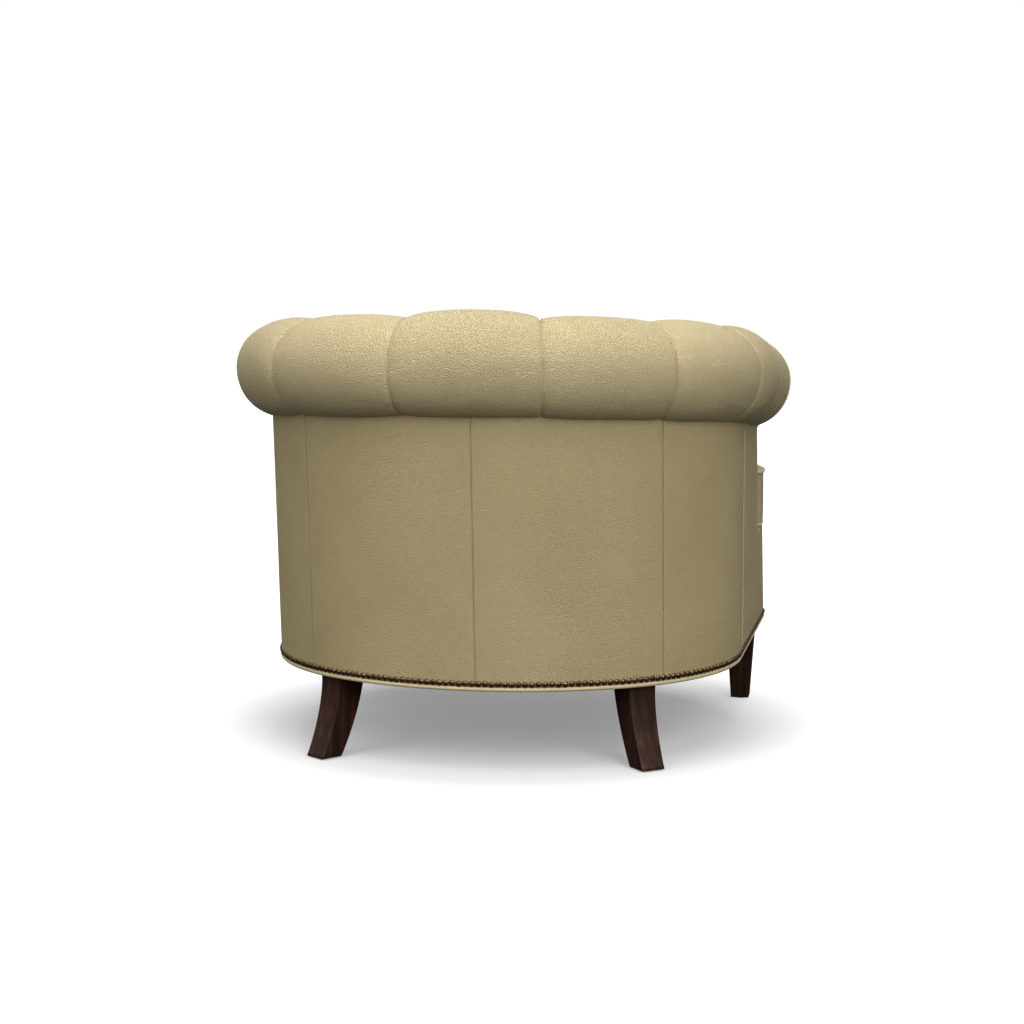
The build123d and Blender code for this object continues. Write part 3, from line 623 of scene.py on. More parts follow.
def inside_depth(share, crown, shaped=1.0):
    """Depth of the inside face from the shell, from the pad's foot to the roll's inner side."""
    foot = PAD_FACE_DEPTH + PAD_CROWN * crown
    head = ROLL_INSET + ROLL_HALF_WIDTH - PLEAT_DEPTH * (1 - crown)
    lumbar = LUMBAR * np.exp(-((share - LUMBAR_SHARE) / LUMBAR_SPREAD) ** 2) * (0.4 + 0.6 * crown)
    valley = VALLEY * np.exp(-((share - BUTTON_SHARE) / VALLEY_SPREAD) ** 2)
    return foot + (head - foot) * smooth_step(share) + shaped * (lumbar - valley)


def pleat_gap(distance):
    """Distance to the nearest pleat, as a column."""
    return np.min(np.abs(distance[:, None] - np.array(all_pleats)), axis=1)[:, None]


def roll_centre_z(distance):
    return seat_z(distance, ROLL_INSET) + ROLL_LIFT


def button_dimple(distance, share, height):
    """How far the leather is drawn in round the buttons."""
    away = pleat_gap(distance) ** 2 + ((share - BUTTON_SHARE) * height) ** 2
    return BUTTON_DIMPLE * np.exp(-away / DIMPLE_REACH ** 2)


def pleat_creases(points, crown, distance):
    """Small creases that run out of the pleats, and the fine line of the pleats themselves."""
    line = PLEAT_CREASE * np.exp(-(pleat_gap(distance) / PLEAT_CREASE_REACH) ** 2)
    fine = FINE_CREASE * (1 - crown) ** 1.5 * waves(points, FINE_CREASE_SIZE, 5)
    return fine + ROLL_UNEVEN * waves(points, ROLL_UNEVEN_SIZE, 6) - line


def roll_and_inside():
    distance, crown = roll_columns()
    c = crown[:, None]
    centre_z = roll_centre_z(distance)[:, None]
    share = np.linspace(0, 1, 46)[None, :-1]
    depth_in = inside_depth(share, c, arm_fade(distance)[:, None])
    depth_in = depth_in - button_dimple(distance, share, centre_z - PAD_BOTTOM_Z)
    z_in = PAD_BOTTOM_Z + (centre_z - PAD_BOTTOM_Z) * share
    turn = np.linspace(0, 1.5 * np.pi, 60)[None, :]
    below = np.clip(-np.sin(turn), 0, 1)
    pleat = PLEAT_DEPTH * (1 - c) * (1 - (1 - UNDER_PLEAT_SHARE) * below)
    half_w = ROLL_HALF_WIDTH - pleat
    over = ROLL_HALF_HEIGHT + MIDDLE_PILLOW_RISE * c * (np.abs(distance) < pleats[0])[:, None]
    half_h = np.where(turn > np.pi, ROLL_UNDER_HEIGHT, over) - pleat
    rough = section_points(distance, ROLL_INSET + half_w * np.cos(turn), centre_z + half_h * np.sin(turn))
    lift = pleat_creases(rough, c, distance)
    depth_roll = ROLL_INSET + (half_w + lift) * np.cos(turn)
    z_roll = centre_z + (half_h + lift) * np.sin(turn)
    z_back = np.stack([seat_z(distance, PAD_BACK_DEPTH), 0 * distance + PAD_BOTTOM_Z], 1)
    depth = np.hstack([depth_in, depth_roll, 0 * z_back + PAD_BACK_DEPTH])
    z = np.hstack([z_in, z_roll, z_back])
    points = section_points(distance, depth, z)
    columns, rows = depth.shape
    faces = grid_faces(columns, rows, wrap_rows=True)
    faces += [ring_face(rows), ring_face(rows, columns - 1)[::-1]]
    piece = outward(add_mesh("pleated_roll_and_inside", points, faces, leather))
    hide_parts("back_roll_pads", "arm_roll_pads_left", "arm_roll_pads_right")


roll_and_inside()


def dome(radius, height, rings, segments):
    """Template of a domed head along +Z: points and faces, with a flat face below."""
    points = [(0.0, 0.0, height)]
    for i in range(1, rings + 1):
        lean = math.pi / 2 * i / rings
        wide = radius * math.sin(lean)
        for k in range(segments):
            turn = 2 * math.pi * k / segments
            points.append((wide * math.cos(turn), wide * math.sin(turn), height * math.cos(lean)))
    faces = [(0, 1 + k, 1 + (k + 1) % segments) for k in range(segments)]
    faces += grid_faces(rings, segments, wrap_rows=True, first=1)
    faces += shifted([ring_face(segments, rings - 1)[::-1]], 1)
    return np.array(points), faces


def spread(template, places, axes):
    """Copies of a template at places; axes are the (x, y, z) directions of each copy."""
    shape, faces = template
    points = []
    all_faces = []
    for place, axis in zip(places, axes):
        all_faces += shifted(faces, len(points) * len(shape))
        points.append(place + shape @ np.asarray(axis))
    return np.concatenate(points), all_faces


def axes_along(normals):
    """Axes with z along each normal and y near straight up."""
    normals = unit(np.asarray(normals, float))
    across = unit(np.cross(np.broadcast_to((0.0, 0.0, 1.0), normals.shape), normals))
    return np.stack([across, np.cross(normals, across), normals], 1)


def tufting_buttons():
    """Leather-covered buttons where the pleats run in under the roll."""
    distance = np.array(all_pleats)
    centre_z = roll_centre_z(distance)[:, None]
    share = np.array([[BUTTON_SHARE]])
    depth = inside_depth(share, 0 * centre_z, arm_fade(distance)[:, None]) - BUTTON_DIMPLE + BUTTON_PROUD
    z = PAD_BOTTOM_Z + (centre_z - PAD_BOTTOM_Z) * share
    places = section_points(distance, depth, z)[:, 0]
    inner = section_points(distance, depth + NORMAL_STEP, z)[:, 0]
    points, faces = spread(dome(BUTTON_RADIUS, BUTTON_HEIGHT, 6, 20), places, axes_along(inner - places))
    piece = add_mesh("tufting_buttons", points, faces, leather)


tufting_buttons()


# Outside leather panels

def flare_at(z):
    return SIDE_FLARE * (JUNCTION_Z - z) / (JUNCTION_Z - BASE_Z)


def arc_end(z):
    """Distance along the shell where its side arc ends."""
    return BACK_RADIUS * BACK_HALF + SIDE_RADIUS * (np.pi / 2 - flare_at(z) - BACK_HALF)


def shell(length, z, proud=0.0):
    """Points of the +X half of the shell's outside, set out by proud, at distances from the back's middle."""
    flare = flare_at(z)
    back_y = BACK_Y - BACK_RADIUS + (z - BASE_Z) * LEAN
    arc = BACK_RADIUS * BACK_HALF
    on_back = length <= arc
    angle = np.where(on_back, length / BACK_RADIUS, BACK_HALF + (length - arc) / SIDE_RADIUS)
    angle = np.minimum(angle, np.pi / 2 - flare)
    past = np.maximum(length - arc_end(z), 0)
    radius = np.where(on_back, BACK_RADIUS, SIDE_RADIUS) + proud
    x = np.where(on_back, 0, SIDE_X) + radius * np.sin(angle) + past * np.sin(flare)
    y = back_y + np.where(on_back, 0, SIDE_REACH * math.cos(BACK_HALF)) + radius * np.cos(angle)
    return np.stack([x, y - past * np.cos(flare), z + 0 * x], -1)


def at_length(length):
    return lambda z: length + 0 * z


def at_y(y):
    """Distance along the shell where its straight side reaches y, as a function of height."""
    def distance(z):
        end = shell(arc_end(z), z)
        return arc_end(z) + (end[..., 1] - y) / np.cos(flare_at(z))
    return distance


def shell_at(y, z):
    """Points of the shell's straight side at y."""
    return shell(at_y(y)(z), z)


def panel_points(start, end, columns, low_rows, high_rows, tuck=0.006):
    """Grid of a panel between two lines, from the welt up to the roll, drawn in at both lines."""
    share = edge_spaced(columns)
    top = np.full(columns, JUNCTION_Z)
    for i in range(4):
        y = shell(start(top) + share * (end(top) - start(top)), top)[:, 1]
        top = JUNCTION_Z - FALL * (JUNCTION_Y - y)
    low = np.linspace(PANEL_BOTTOM_Z, SEAT_DECK_Z, low_rows)[None]
    high = SEAT_DECK_Z + (top + tuck - SEAT_DECK_Z)[:, None] * np.linspace(0, 1, high_rows + 1)[None, 1:]
    z = np.hstack([np.broadcast_to(low, (columns, low_rows)), high])
    length = start(z) + share[:, None] * (end(z) - start(z))
    return drawn_in(length, z, start(z), end(z))


def drawn_in(length, z, first, last):
    """Shell points with a groove at the first and last line and a slight swell between."""
    proud = -SEAM_DEPTH * (shoulder(length - first, SEAM_REACH) + shoulder(last - length, SEAM_REACH))
    share = (length - first) / (last - first)
    flat = shell(length, z)
    proud = proud + PANEL_PUFF * np.sin(np.pi * share) ** 0.5 * (1 + 0.5 * waves(flat, PANEL_UNEVEN_SIZE, 11))
    return shell(length, z, proud)


def thicken(piece, thickness):
    made = piece.modifiers.new("thickness", "SOLIDIFY")
    made.thickness = thickness
    made.offset = -1.0


def panel_pair(name, points, faces):
    """Left and right panels from the +X points."""
    for side, place, order in (("left", points, faces), ("right", mirror_points(points), flip(faces))):
        # The outside panels take the darker copy of the leather: painted shade.
        piece = add_mesh(f"{name}_{side}_leather", place, order, shaded_shell_leather)
        edit_mesh(piece, lambda mesh: bmesh.ops.remove_doubles(mesh, verts=mesh.verts, dist=WELD_GAP))
        thicken(piece, PANEL_THICKNESS - PANEL_SPARE)
        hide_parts(f"{name}_{side}")


def outside_panels():
    low_rows, high_rows = 20, 30
    rows = low_rows + high_rows
    lines = [at_length(0.0), at_length(SEAM_LENGTH), at_y(ARM_SEAM_Y), at_y(ARM_FRONT_Y), at_y(FRONT_Y)]
    for name, first, count in (("outside_back", 0, 44), ("outside_side", 1, 56)):
        points = panel_points(lines[first], lines[first + 1], count, low_rows, high_rows)
        panel_pair(name, points, flip(grid_faces(count, rows)))
    count, lip_count = 48, 16
    upper = panel_points(lines[2], lines[3], count, low_rows, high_rows)
    low_z = np.linspace(PANEL_BOTTOM_Z, SEAT_DECK_Z, low_rows)
    upper[:, :low_rows] = arm_low_part(lines, 2, count, low_z)
    lip = arm_low_part(lines, 3, lip_count, low_z)
    faces = flip(grid_faces(count, rows)) + flip(grid_faces(lip_count, low_rows, first=count * rows))
    points = np.concatenate([upper.reshape(-1, 3), lip.reshape(-1, 3)])
    panel_pair("outside_arm", points, faces)


def arm_low_part(lines, first, count, z):
    """Part of the arm panel below the seat deck, which has no groove at the arm's front."""
    z = z[None] + np.zeros((count, 1))
    start = lines[first](z)
    length = start + edge_spaced(count)[:, None] * (lines[first + 1](z) - start)
    return drawn_in(length, z, lines[2](z), lines[4](z))


outside_panels()


def front_border():
    """Flat leather front below the cushion, between the two arm panels."""
    columns, rows = 60, 22
    z = np.linspace(PANEL_BOTTOM_Z, SEAT_DECK_Z, rows)
    half = shell_at(FRONT_Y, z)[:, 0] - PANEL_THICKNESS
    share = edge_spaced(columns) * 2 - 1
    x = share[:, None] * half[None]
    edge = half[None] - np.abs(x)
    inward = SEAM_DEPTH * (shoulder(edge, SEAM_REACH) + shoulder(SEAT_DECK_Z - z, SEAM_REACH)[None])
    flat = np.stack([x, FRONT_Y + inward, z[None] + 0 * x], -1)
    flat[..., 1] -= FRONT_PUFF * (1 + waves(flat, FRONT_UNEVEN_SIZE, 12))
    # The front border takes the darker copy of the leather: painted shade.
    piece = add_mesh("front_border_leather", flat, flip(grid_faces(columns, rows)), shaded_shell_leather)
    outward(piece)
    thicken(piece, PANEL_THICKNESS - PANEL_SPARE)
    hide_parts("front_border")


front_border()


def seam_stitches():
    """Row of stitches beside each arm seam."""
    low = PANEL_BOTTOM_Z + STITCH_LOW_MARGIN
    top = JUNCTION_Z - FALL * (JUNCTION_Y - ARM_SEAM_Y) - STITCH_TOP_MARGIN
    z = np.arange(low, top, STITCH_PITCH)
    places = shell(at_y(ARM_SEAM_Y)(z) + STITCH_ASIDE, z)
    shape, faces = dome(STITCH_RADIUS, STITCH_RADIUS, 3, 8)
    shape = shape * np.array([1.0, STITCH_LENGTH / 2 / STITCH_RADIUS, STITCH_ARCH])
    normals = np.broadcast_to((1.0, 0.0, 0.0), places.shape)
    points, all_faces = spread((shape, faces), places, axes_along(normals))
    both = np.concatenate([points, mirror_points(points)])
    mirrored = shifted(flip(all_faces), len(points))
    piece = add_mesh("arm_seam_stitches", both, all_faces + mirrored, thread)


seam_stitches()


# Base welt and nails

def base_line(z, proud):
    """Closed line round the base at one height, from the back's middle by way of +X."""
    front = at_y(FRONT_Y - proud)(np.array(z))
    length = np.linspace(0, front, 260)
    half = shell(length, z + 0 * length, proud)
    return np.concatenate([half, mirror_points(half)[:0:-1]])


def base_welt():
    path = resampled(base_line(PIPING_Z, PIPING_PROUD - PIPING_RADIUS), PIPING_STEP)
    points, faces = tube(path, PIPING_RADIUS, (0.0, 0.0, 1.0), 12)
    piece = outward(add_mesh("base_piping", points, faces, piping_leather))
    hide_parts("base_welt")


base_welt()


def nails():
    """Single nail heads, set by hand, so each leans and sits a little differently."""
    draw = np.random.default_rng(21)
    front = float(at_y(FRONT_Y)(np.array(NAIL_Z)))
    count = int(round(front / NAIL_PITCH))
    length = (np.arange(count) + 0.5) * front / count
    z = NAIL_Z + draw.normal(0, NAIL_WANDER, count)
    half = shell(length, z)
    outer = shell(length, z, NORMAL_STEP)
    normals = unit(outer - half)
    front_half = half[-1, 0] - NAIL_PITCH / 2
    across = int(round(2 * front_half / NAIL_PITCH))
    x = np.linspace(-front_half, front_half, across)
    row = np.stack([x, 0 * x + FRONT_Y, NAIL_Z + draw.normal(0, NAIL_WANDER, across)], 1)
    places = np.concatenate([half, mirror_points(half), row])
    normals = np.concatenate([normals, mirror_points(normals), np.tile((0.0, -1.0, 0.0), (across, 1))])
    normals = unit(normals + draw.normal(0, NAIL_TILT, normals.shape))
    points, faces = spread(dome(NAIL_RADIUS, NAIL_HEIGHT, 5, 16), places, axes_along(normals))
    piece = add_mesh("nail_heads", points, faces, finishes["nail_bronze"])
    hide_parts("nail_trim")


nails()


# Arm facings

def facing_outline():
    """Depth and height of the arm's front outline, from its inner foot over the roll to its outer foot."""
    end = np.array([ROLL_END])
    centre_z = float(roll_centre_z(end)[0])
    foot_z = SEAT_DECK_Z + FACING_DECK_GAP
    share = np.linspace((foot_z - PAD_BOTTOM_Z) / (centre_z - PAD_BOTTOM_Z), 1, 40)[:-1]
    depth = [inside_depth(share, np.full(share.shape, FACING_CROWN), ARM_END_SHAPE)]
    z = [PAD_BOTTOM_Z + (centre_z - PAD_BOTTOM_Z) * share]
    sunk = math.asin(ROLL_LIFT / ROLL_UNDER_HEIGHT)
    flat = ROLL_HALF_WIDTH * math.cos(sunk)
    turn = np.linspace(0, np.pi + sunk, 70)
    depth.append(ROLL_INSET + ROLL_HALF_WIDTH * np.cos(turn))
    z.append(centre_z + np.where(turn > np.pi, ROLL_UNDER_HEIGHT, ROLL_HALF_HEIGHT) * np.sin(turn))
    low = np.linspace(float(seat_z(end, ROLL_INSET - flat)[0]) - FACING_LAP, foot_z, 24)
    flare_out = np.array([SIDE_X + SIDE_RADIUS - shell_at(ARM_FRONT_Y, h)[0] for h in low])
    depth.append(flare_out + FACING_SIDE_GAP)
    z.append(low)
    x = SIDE_X + SIDE_RADIUS - np.concatenate(depth)
    outline = resampled(np.stack([x, np.concatenate(z)], 1), FACING_STEP)
    return resampled(moved_in(outline, FACING_INSET), FACING_STEP)


def upright(outline, y):
    """Points of an outline in x and z at one y."""
    return np.column_stack([outline[:, 0], np.full(len(outline), y), outline[:, 1]])


def arm_facings():
    """Padded front of each arm with a piped edge."""
    edge = facing_outline()
    middle = np.array(FACING_MIDDLE)
    scales = np.sin(np.linspace(0, np.pi / 2, 14)[1:])
    rim_y = ARM_FRONT_Y - FACING_THICKNESS + FACING_RIM
    rings = [upright(edge, ARM_FRONT_Y + FACING_SUNK)]
    for scale in scales[::-1]:
        y = rim_y - FACING_PUFF * math.sqrt(max(1 - scale ** 4, 0))
        rings.append(upright(middle + (edge - middle) * scale, y))
    points = np.concatenate(rings)
    count = len(edge)
    hub = len(points)
    points = np.vstack([points, [middle[0], rim_y - FACING_PUFF, middle[1]]])
    faces = grid_faces(len(rings), count, wrap_rows=True)
    last = (len(rings) - 1) * count
    faces += [(last + k, last + (k + 1) % count, hub) for k in range(count)]
    faces.append(ring_face(count))
    cord, cord_faces = tube(upright(edge, rim_y), FACING_PIPING_RADIUS, (0.0, 1.0, 0.0))
    for side, turn in (("left", np.asarray), ("right", mirror_points)):
        piece = outward(add_mesh(f"arm_facing_{side}_leather", turn(points), faces, leather))
        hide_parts(f"arm_facing_{side}")
        piping = outward(add_mesh(f"arm_facing_{side}_piping", turn(cord), cord_faces, piping_leather))


arm_facings()


# Legs

def rounded_square(side, radius, per_corner=4):
    """Closed outline of a square with eased corners."""
    points = []
    for corner in range(4):
        turn = math.pi / 2 * corner + math.pi / 4
        middle = (side / 2 - radius) * math.sqrt(2)
        for k in range(per_corner):
            bend = math.pi / 2 * corner + math.pi / 2 * k / (per_corner - 1)
            points.append((middle * math.cos(turn) + radius * math.cos(bend),
                           middle * math.sin(turn) + radius * math.sin(bend)))
    return np.array(points)


def leg(name, spot, top, foot, sweep, turn, taper):
    """Square tapering leg with eased edges; a swept one curves out the way it faces."""
    height = RAIL_BOTTOM_Z - LEG_FLOOR_GAP
    rings = []
    for share in np.linspace(0, 1, 24):
        side = top + (foot - top) * share ** taper
        out = sweep * share ** LEG_SWEEP_BEND * np.array([math.sin(turn), math.cos(turn)])
        flat = rounded_square(side, LEG_EDGE)
        flat = flat @ np.array([[math.cos(turn), -math.sin(turn)], [math.sin(turn), math.cos(turn)]])
        rings.append(at_height(flat + spot + out, RAIL_BOTTOM_Z - height * share))
    count = len(rings[0])
    eased = rings[-1].copy()
    centre = eased.mean(0)
    eased[:, :2] = centre[:2] + (eased[:, :2] - centre[:2]) * FOOT_EASE
    rings[-1][:, 2] += FOOT_EASE_HEIGHT
    rings.append(eased)
    points = np.concatenate(rings)
    faces = grid_faces(len(rings), count, wrap_rows=True)
    faces += [ring_face(count), ring_face(count, len(rings) - 1)]
    for side, place in (("left", points), ("right", mirror_points(points))):
        piece = outward(add_mesh(f"{name}_{side}_wood", place, faces, finishes["leg_wood"]))
        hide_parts(f"{name}_{side}")


leg_circle = SIDE_RADIUS - REAR_LEG_INSET
rear_spot = (SIDE_X + leg_circle * math.sin(REAR_LEG_ANGLE),
             BASE_SIDE_Y + leg_circle * math.cos(REAR_LEG_ANGLE))
front_leg_y = FRONT_Y + FRONT_LEG_SETBACK
front_spot = (float(shell_at(front_leg_y, np.array(BASE_Z))[0]) - FRONT_LEG_INSET, front_leg_y)
leg("rear_leg", rear_spot, REAR_LEG_TOP, REAR_LEG_FOOT, REAR_LEG_SWEEP, REAR_LEG_TURN, REAR_LEG_TAPER)
leg("front_leg", front_spot, FRONT_LEG_TOP, FRONT_LEG_FOOT, 0.0, 0.0, FRONT_LEG_TAPER)


# Seat deck, dust cover and cushion

def eased_corner(before, corner, after, radius, count=7):
    """Points of a rounded corner."""
    before, corner, after = (np.asarray(p, float) for p in (before, corner, after))
    a = unit(before - corner)
    b = unit(after - corner)
    half = math.acos(float(np.clip(a @ b, -1, 1))) / 2
    centre = corner + unit(a + b) * radius / math.sin(half)
    start = corner + a * radius / math.tan(half)
    end = corner + b * radius / math.tan(half)
    first, last = unit(start - centre), unit(end - centre)
    opening = math.acos(float(np.clip(first @ last, -1, 1)))
    shares = np.linspace(0, 1, count)
    ways = [math.sin((1 - t) * opening) * first + math.sin(t * opening) * last for t in shares]
    return [centre + radius * (way / math.sin(opening)) for way in ways]


def arc(x, y, radius, angles):
    return [(x + radius * math.sin(angle), y + radius * math.cos(angle)) for angle in angles]


def t_outline(depth, z, ear_half, ear_back_y, front_y, draw_in, notch=CUSHION_NOTCH, corner=CUSHION_CORNER):
    """Closed T-shaped plan: the tub's inside, ears in front of the arms and a drawn-in front."""
    back_y = BACK_Y - BACK_RADIUS + (z - BASE_Z) * LEAN
    side_y = back_y + SIDE_REACH * math.cos(BACK_HALF)
    back_angles = np.linspace(0, BACK_HALF, 14)[:-1]
    side_angles = np.linspace(BACK_HALF, math.pi / 2, 18)
    half = arc(0.0, back_y, BACK_RADIUS - depth, back_angles)
    half += arc(SIDE_X, side_y, SIDE_RADIUS - depth, side_angles)
    well_x = SIDE_X + SIDE_RADIUS - depth
    corners = [(well_x, ear_back_y), (ear_half, ear_back_y), (ear_half, front_y)]
    radii = (notch, corner, corner)
    chain = [half[-1], *corners, (0.0, front_y)]
    for i, radius in enumerate(radii):
        half += eased_corner(chain[i], chain[i + 1], chain[i + 2], radius)
    for x in np.linspace(ear_half - corner, 0, 20)[1:]:
        half.append((x, front_y + draw_in * (1 - (x / (ear_half - corner)) ** 2)))
    half = np.array(half)
    mirrored = half[1:-1][::-1] * np.array([-1.0, 1.0])
    return np.concatenate([half, mirrored])


def prism(name, loop, low, high, material, body):
    """Closed block of a plan line between two heights."""
    count = len(loop)
    points = np.vstack([at_height(loop, low), at_height(loop, high)])
    faces = [(k, (k + 1) % count, count + (k + 1) % count, count + k) for k in range(count)]
    faces += [ring_face(count)[::-1], ring_face(count, 1)]
    return outward(add_mesh(name, points, faces, material, body))


def remeshed(piece, size):
    """Even quads all over a closed mesh."""
    bpy.context.view_layer.objects.active = piece
    piece.select_set(True)
    piece.data.remesh_voxel_size = size
    bpy.ops.object.voxel_remesh()
    piece.select_set(False)
    piece.data.polygons.foreach_set("use_smooth", [True] * len(piece.data.polygons))


def coordinates(piece):
    points = np.zeros(3 * len(piece.data.vertices))
    piece.data.vertices.foreach_get("co", points)
    return points.reshape(-1, 3)


def set_coordinates(piece, points):
    piece.data.vertices.foreach_set("co", points.ravel())
    piece.data.update()


def distance_to(loop, flat):
    """Distance of plan points to a closed plan line."""
    line = resampled(loop, DISTANCE_STEP)
    best = np.zeros(len(flat))
    for part in np.array_split(np.arange(len(flat)), 40):
        gap = np.linalg.norm(flat[part, None] - line[None], axis=2)
        best[part] = gap.min(1)
    return best


def seat_deck():
    """Deck under the cushion, in plain platform cloth with eased edges."""
    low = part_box("deck_pad")[0].z
    ear_back_y = ARM_FRONT_Y - FACING_THICKNESS + DECK_UNDER_FACING
    loop = t_outline(CUSHION_SIDE_DEPTH - DECK_TUCK, SEAT_DECK_Z, DECK_EAR_HALF, ear_back_y,
                     FRONT_Y + PANEL_THICKNESS + DECK_FRONT_GAP, 0.0, DECK_CORNER, DECK_CORNER)
    piece = prism("seat_deck_cloth", loop, low, SEAT_DECK_Z - DECK_DROP, finishes["padding"], "chair")
    ease = piece.modifiers.new("eased_edges", "BEVEL")
    ease.width = DECK_EASE
    ease.segments = 3
    ease.limit_method = "ANGLE"
    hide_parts("deck_pad")


seat_deck()


def dust_cover():
    """Black cloth stretched under the seat, sagging a little."""
    z = RAIL_BOTTOM_Z - DUST_COVER_DROP
    rim = resampled(base_line(BASE_Z, -DUST_COVER_INSET)[:, :2], DUST_COVER_STEP)
    middle = np.array(DUST_COVER_MIDDLE)
    shares = np.linspace(1, 0.04, 26)
    rings = []
    for share in shares:
        sag = DUST_COVER_SAG * (1 - share ** 2) ** 1.5
        rings.append(at_height(middle + (rim - middle) * share, z - sag))
    points = np.concatenate(rings)
    count = len(rim)
    faces = grid_faces(len(rings), count, wrap_rows=True)
    faces.append(ring_face(count, len(rings) - 1))
    piece = add_mesh("dust_cover_cloth", points, faces, finishes["black_cloth"])
    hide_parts("dust_cover")


dust_cover()


def swell(piece, held, cap, frames=20, pressure=4.0):
    """Cloth under inner pressure, held at the given points, moved at most cap."""
    start = coordinates(piece)
    group = piece.vertex_groups.new(name="held")
    group.add([int(k) for k in np.flatnonzero(held)], 1.0, "REPLACE")
    cloth = piece.modifiers.new("cloth", "CLOTH")
    settings = cloth.settings
    settings.quality = 6
    settings.mass = 0.5
    settings.tension_stiffness = 18.0
    settings.compression_stiffness = 18.0
    settings.shear_stiffness = 8.0
    settings.bending_stiffness = 1.2
    settings.use_pressure = True
    settings.uniform_pressure_force = pressure
    settings.vertex_group_mass = "held"
    settings.effector_weights.gravity = 0.0
    scene = bpy.context.scene
    for number in range(1, frames + 1):
        scene.frame_set(number)
    points = coordinates(piece.evaluated_get(bpy.context.evaluated_depsgraph_get()))
    piece.modifiers.remove(cloth)
    scene.frame_set(1)
    shift = points - start
    far = np.linalg.norm(shift, axis=1, keepdims=True)
    set_coordinates(piece, start + shift * np.minimum(1, cap / np.maximum(far, 1e-9)))


def seat_cushion():
    """Loose T cushion: crowned top, boxing that swells between two piped seams, flat underside."""
    loop = t_outline(CUSHION_SIDE_DEPTH, CUSHION_BOTTOM_Z, CUSHION_EAR_HALF, CUSHION_EAR_BACK_Y,
                     CUSHION_FRONT_Y, CUSHION_DRAW_IN)
    even = resampled(loop, PIPING_STEP)
    body = moved_in(even, BOXING_INSET)
    low_seam = CUSHION_BOTTOM_Z + CUSHION_WELT_RADIUS
    top_seam = CUSHION_TOP_Z - CUSHION_WELT_RADIUS
    piece = prism("seat_cushion_leather", body, CUSHION_BOTTOM_Z + CUSHION_UNDER_GAP,
                  CUSHION_TOP_Z - CUSHION_TOP_GAP, leather, "seat_cushion")
    remeshed(piece, CUSHION_VOXEL)
    points = coordinates(piece)
    inside = distance_to(body, points[:, :2])
    height = (points[:, 2] - low_seam) / (top_seam - low_seam)
    crown = CUSHION_CROWN * np.sqrt(1 - np.clip(1 - inside / CROWN_REACH, 0, 1) ** 2)
    crown += CROWN_UNEVEN * waves(points, CROWN_UNEVEN_SIZE, 31) * np.clip(inside / CROWN_EVEN_EDGE, 0, 1)
    points[:, 2] += np.where(height > 0.9, crown, 0.0)
    set_coordinates(piece, points)
    z = points[:, 2]
    off_seam = np.minimum(np.abs(z - low_seam), np.abs(z - top_seam))
    at_seam = (inside < SEAM_HOLD_DEPTH) & (off_seam < SEAM_HOLD_HEIGHT)
    swell(piece, at_seam | (height < 0.02), cap=CUSHION_SWELL)
    smooth = piece.modifiers.new("smooth", "SUBSURF")
    smooth.levels = 1
    smooth.render_levels = 1
    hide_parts("cushion_top", "cushion_boxing", "cushion_bottom", "cushion_core")
    cords = []
    faces = []
    for z, inset in ((low_seam, LOW_PIPING_INSET), (top_seam, TOP_PIPING_INSET)):
        cord, cord_faces = tube(at_height(moved_in(even, inset), z), CUSHION_WELT_RADIUS, (0.0, 0.0, 1.0))
        faces += shifted(cord_faces, sum(len(made) for made in cords))
        cords.append(cord.reshape(-1, 3))
    piping = outward(add_mesh("seat_cushion_piping", np.concatenate(cords), faces, piping_leather,
                              "seat_cushion"))
    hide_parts("cushion_welts")


seat_cushion()


# Floor, light and camera

FLOOR_HALF = 12.0
FLOOR_LIT = (0.07, 0.07, 0.07)
FLOOR_SEEN = (0.45, 0.45, 0.45)
# Painted shadow: the floor's glow for the camera is held low within GLOW_START of the middle and rises to
# white by GLOW_END, so the floor round the chair reads darker.
GLOW_START = 0.40
GLOW_END = 0.70
PAINTED_SHADOW_GLOW = 0.265
GLOW_FAR = 0.90


def floor():
    """Pale floor that keeps the shadow, darkened round the chair by a painted shadow, and goes to white
    further out.
    """
    material, tree, shader = new_material("floor")
    tree.nodes.remove(shader)
    to_camera = put(tree, "LightPath").outputs["Is Camera Ray"]
    away = put(tree, "VectorMath", put(tree, "TexCoord").outputs["Object"], settings={"operation": "LENGTH"})
    # Painted shadow: weaker camera glow near the chair, stronger further out.
    glow_with_painted_shadow = span(tree, away.outputs["Value"], GLOW_START, GLOW_END, PAINTED_SHADOW_GLOW, GLOW_FAR)
    diffuse = put(tree, "BsdfDiffuse", Color=ramp(tree, to_camera, ((0.0, FLOOR_LIT), (1.0, FLOOR_SEEN))))
    shine = put(tree, "Emission", Strength=math_node(tree, "MULTIPLY", to_camera, glow_with_painted_shadow))
    total = put(tree, "AddShader", diffuse.outputs[0], shine.outputs[0])
    feed(tree, tree.nodes["Material Output"], Surface=total.outputs[0])
    corners = [(x * FLOOR_HALF, y * FLOOR_HALF, 0.0) for x, y in ((-1, -1), (1, -1), (1, 1), (-1, 1))]
    mesh = bpy.data.meshes.new("floor")
    mesh.from_pydata(corners, [], [(0, 1, 2, 3)])
    mesh.materials.append(material)
    ground = linked("floor", mesh)


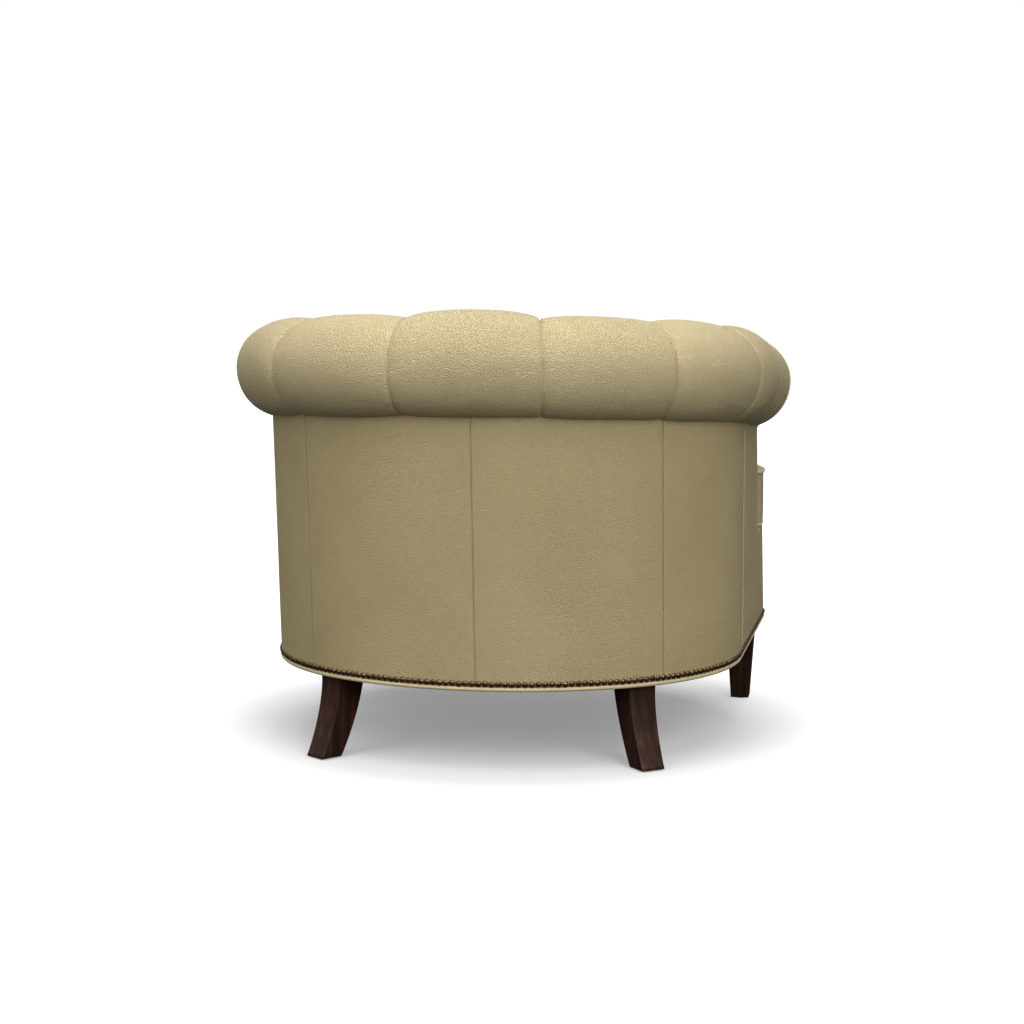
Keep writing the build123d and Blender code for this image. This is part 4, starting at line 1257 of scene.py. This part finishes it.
def world(low, high):
    """Soft studio light, stronger from above; the camera and glass see plain white."""
    made = bpy.data.worlds.new("studio")
    made.use_nodes = True
    bpy.context.scene.world = made
    tree = made.node_tree
    parts = put(tree, "SeparateXYZ", put(tree, "TexCoord").outputs["Generated"])
    sky = span(tree, parts.outputs["Z"], -0.1, 0.9, low, high)
    path = put(tree, "LightPath")
    seen = math_node(tree, "MAXIMUM", path.outputs["Is Camera Ray"], path.outputs["Is Transmission Ray"])
    lit = math_node(tree, "MULTIPLY", sky, math_node(tree, "SUBTRACT", 1.0, seen))
    feed(tree, tree.nodes["Background"], Color=(1.0, 1.0, 1.0, 1.0),
         Strength=math_node(tree, "MAXIMUM", lit, seen))


def softbox(name, place, target, width, height, power):
    data = bpy.data.lights.new(name, "AREA")
    data.shape = "RECTANGLE"
    data.size = width
    data.size_y = height
    data.energy = power
    lamp = linked(name, data)
    lamp.location = place
    lamp.rotation_euler = (Vector(target) - Vector(place)).to_track_quat("-Z", "Y").to_euler()


CAMERA_PLACE = Vector((-0.67627, 4.04726, 0.89311))
CAMERA_HEADING = math.radians(9.464)
CAMERA_PITCH = math.radians(7.10)
CAMERA_LENS = 83.86


def camera():
    level = math.cos(CAMERA_PITCH)
    sine, cosine = math.sin(CAMERA_HEADING), math.cos(CAMERA_HEADING)
    ahead = Vector((sine * level, -cosine * level, -math.sin(CAMERA_PITCH)))
    right = Vector((-cosine, -sine, 0.0))
    up = right.cross(ahead)
    data = bpy.data.cameras.new("camera")
    data.lens = CAMERA_LENS
    data.sensor_width = 36.0
    made = linked("camera", data)
    made.matrix_world = Matrix((right, up, -ahead)).transposed().to_4x4()
    made.location = CAMERA_PLACE
    bpy.context.scene.camera = made


floor()
world(0.27, 0.90)
softbox("overhead", (0.05, 0.75, 2.6), (0.0, 0.1, 0.5), 2.4, 2.0, 51.0)
softbox("other_side", (1.8, 2.6, 2.0), (0.0, 0.2, 0.5), 2.0, 1.8, 41.0)
softbox("camera_side", (-1.8, 2.8, 2.0), (0.0, 0.3, 0.5), 2.0, 1.8, 84.0)
camera()
bpy.context.scene.view_settings.view_transform = "Standard"
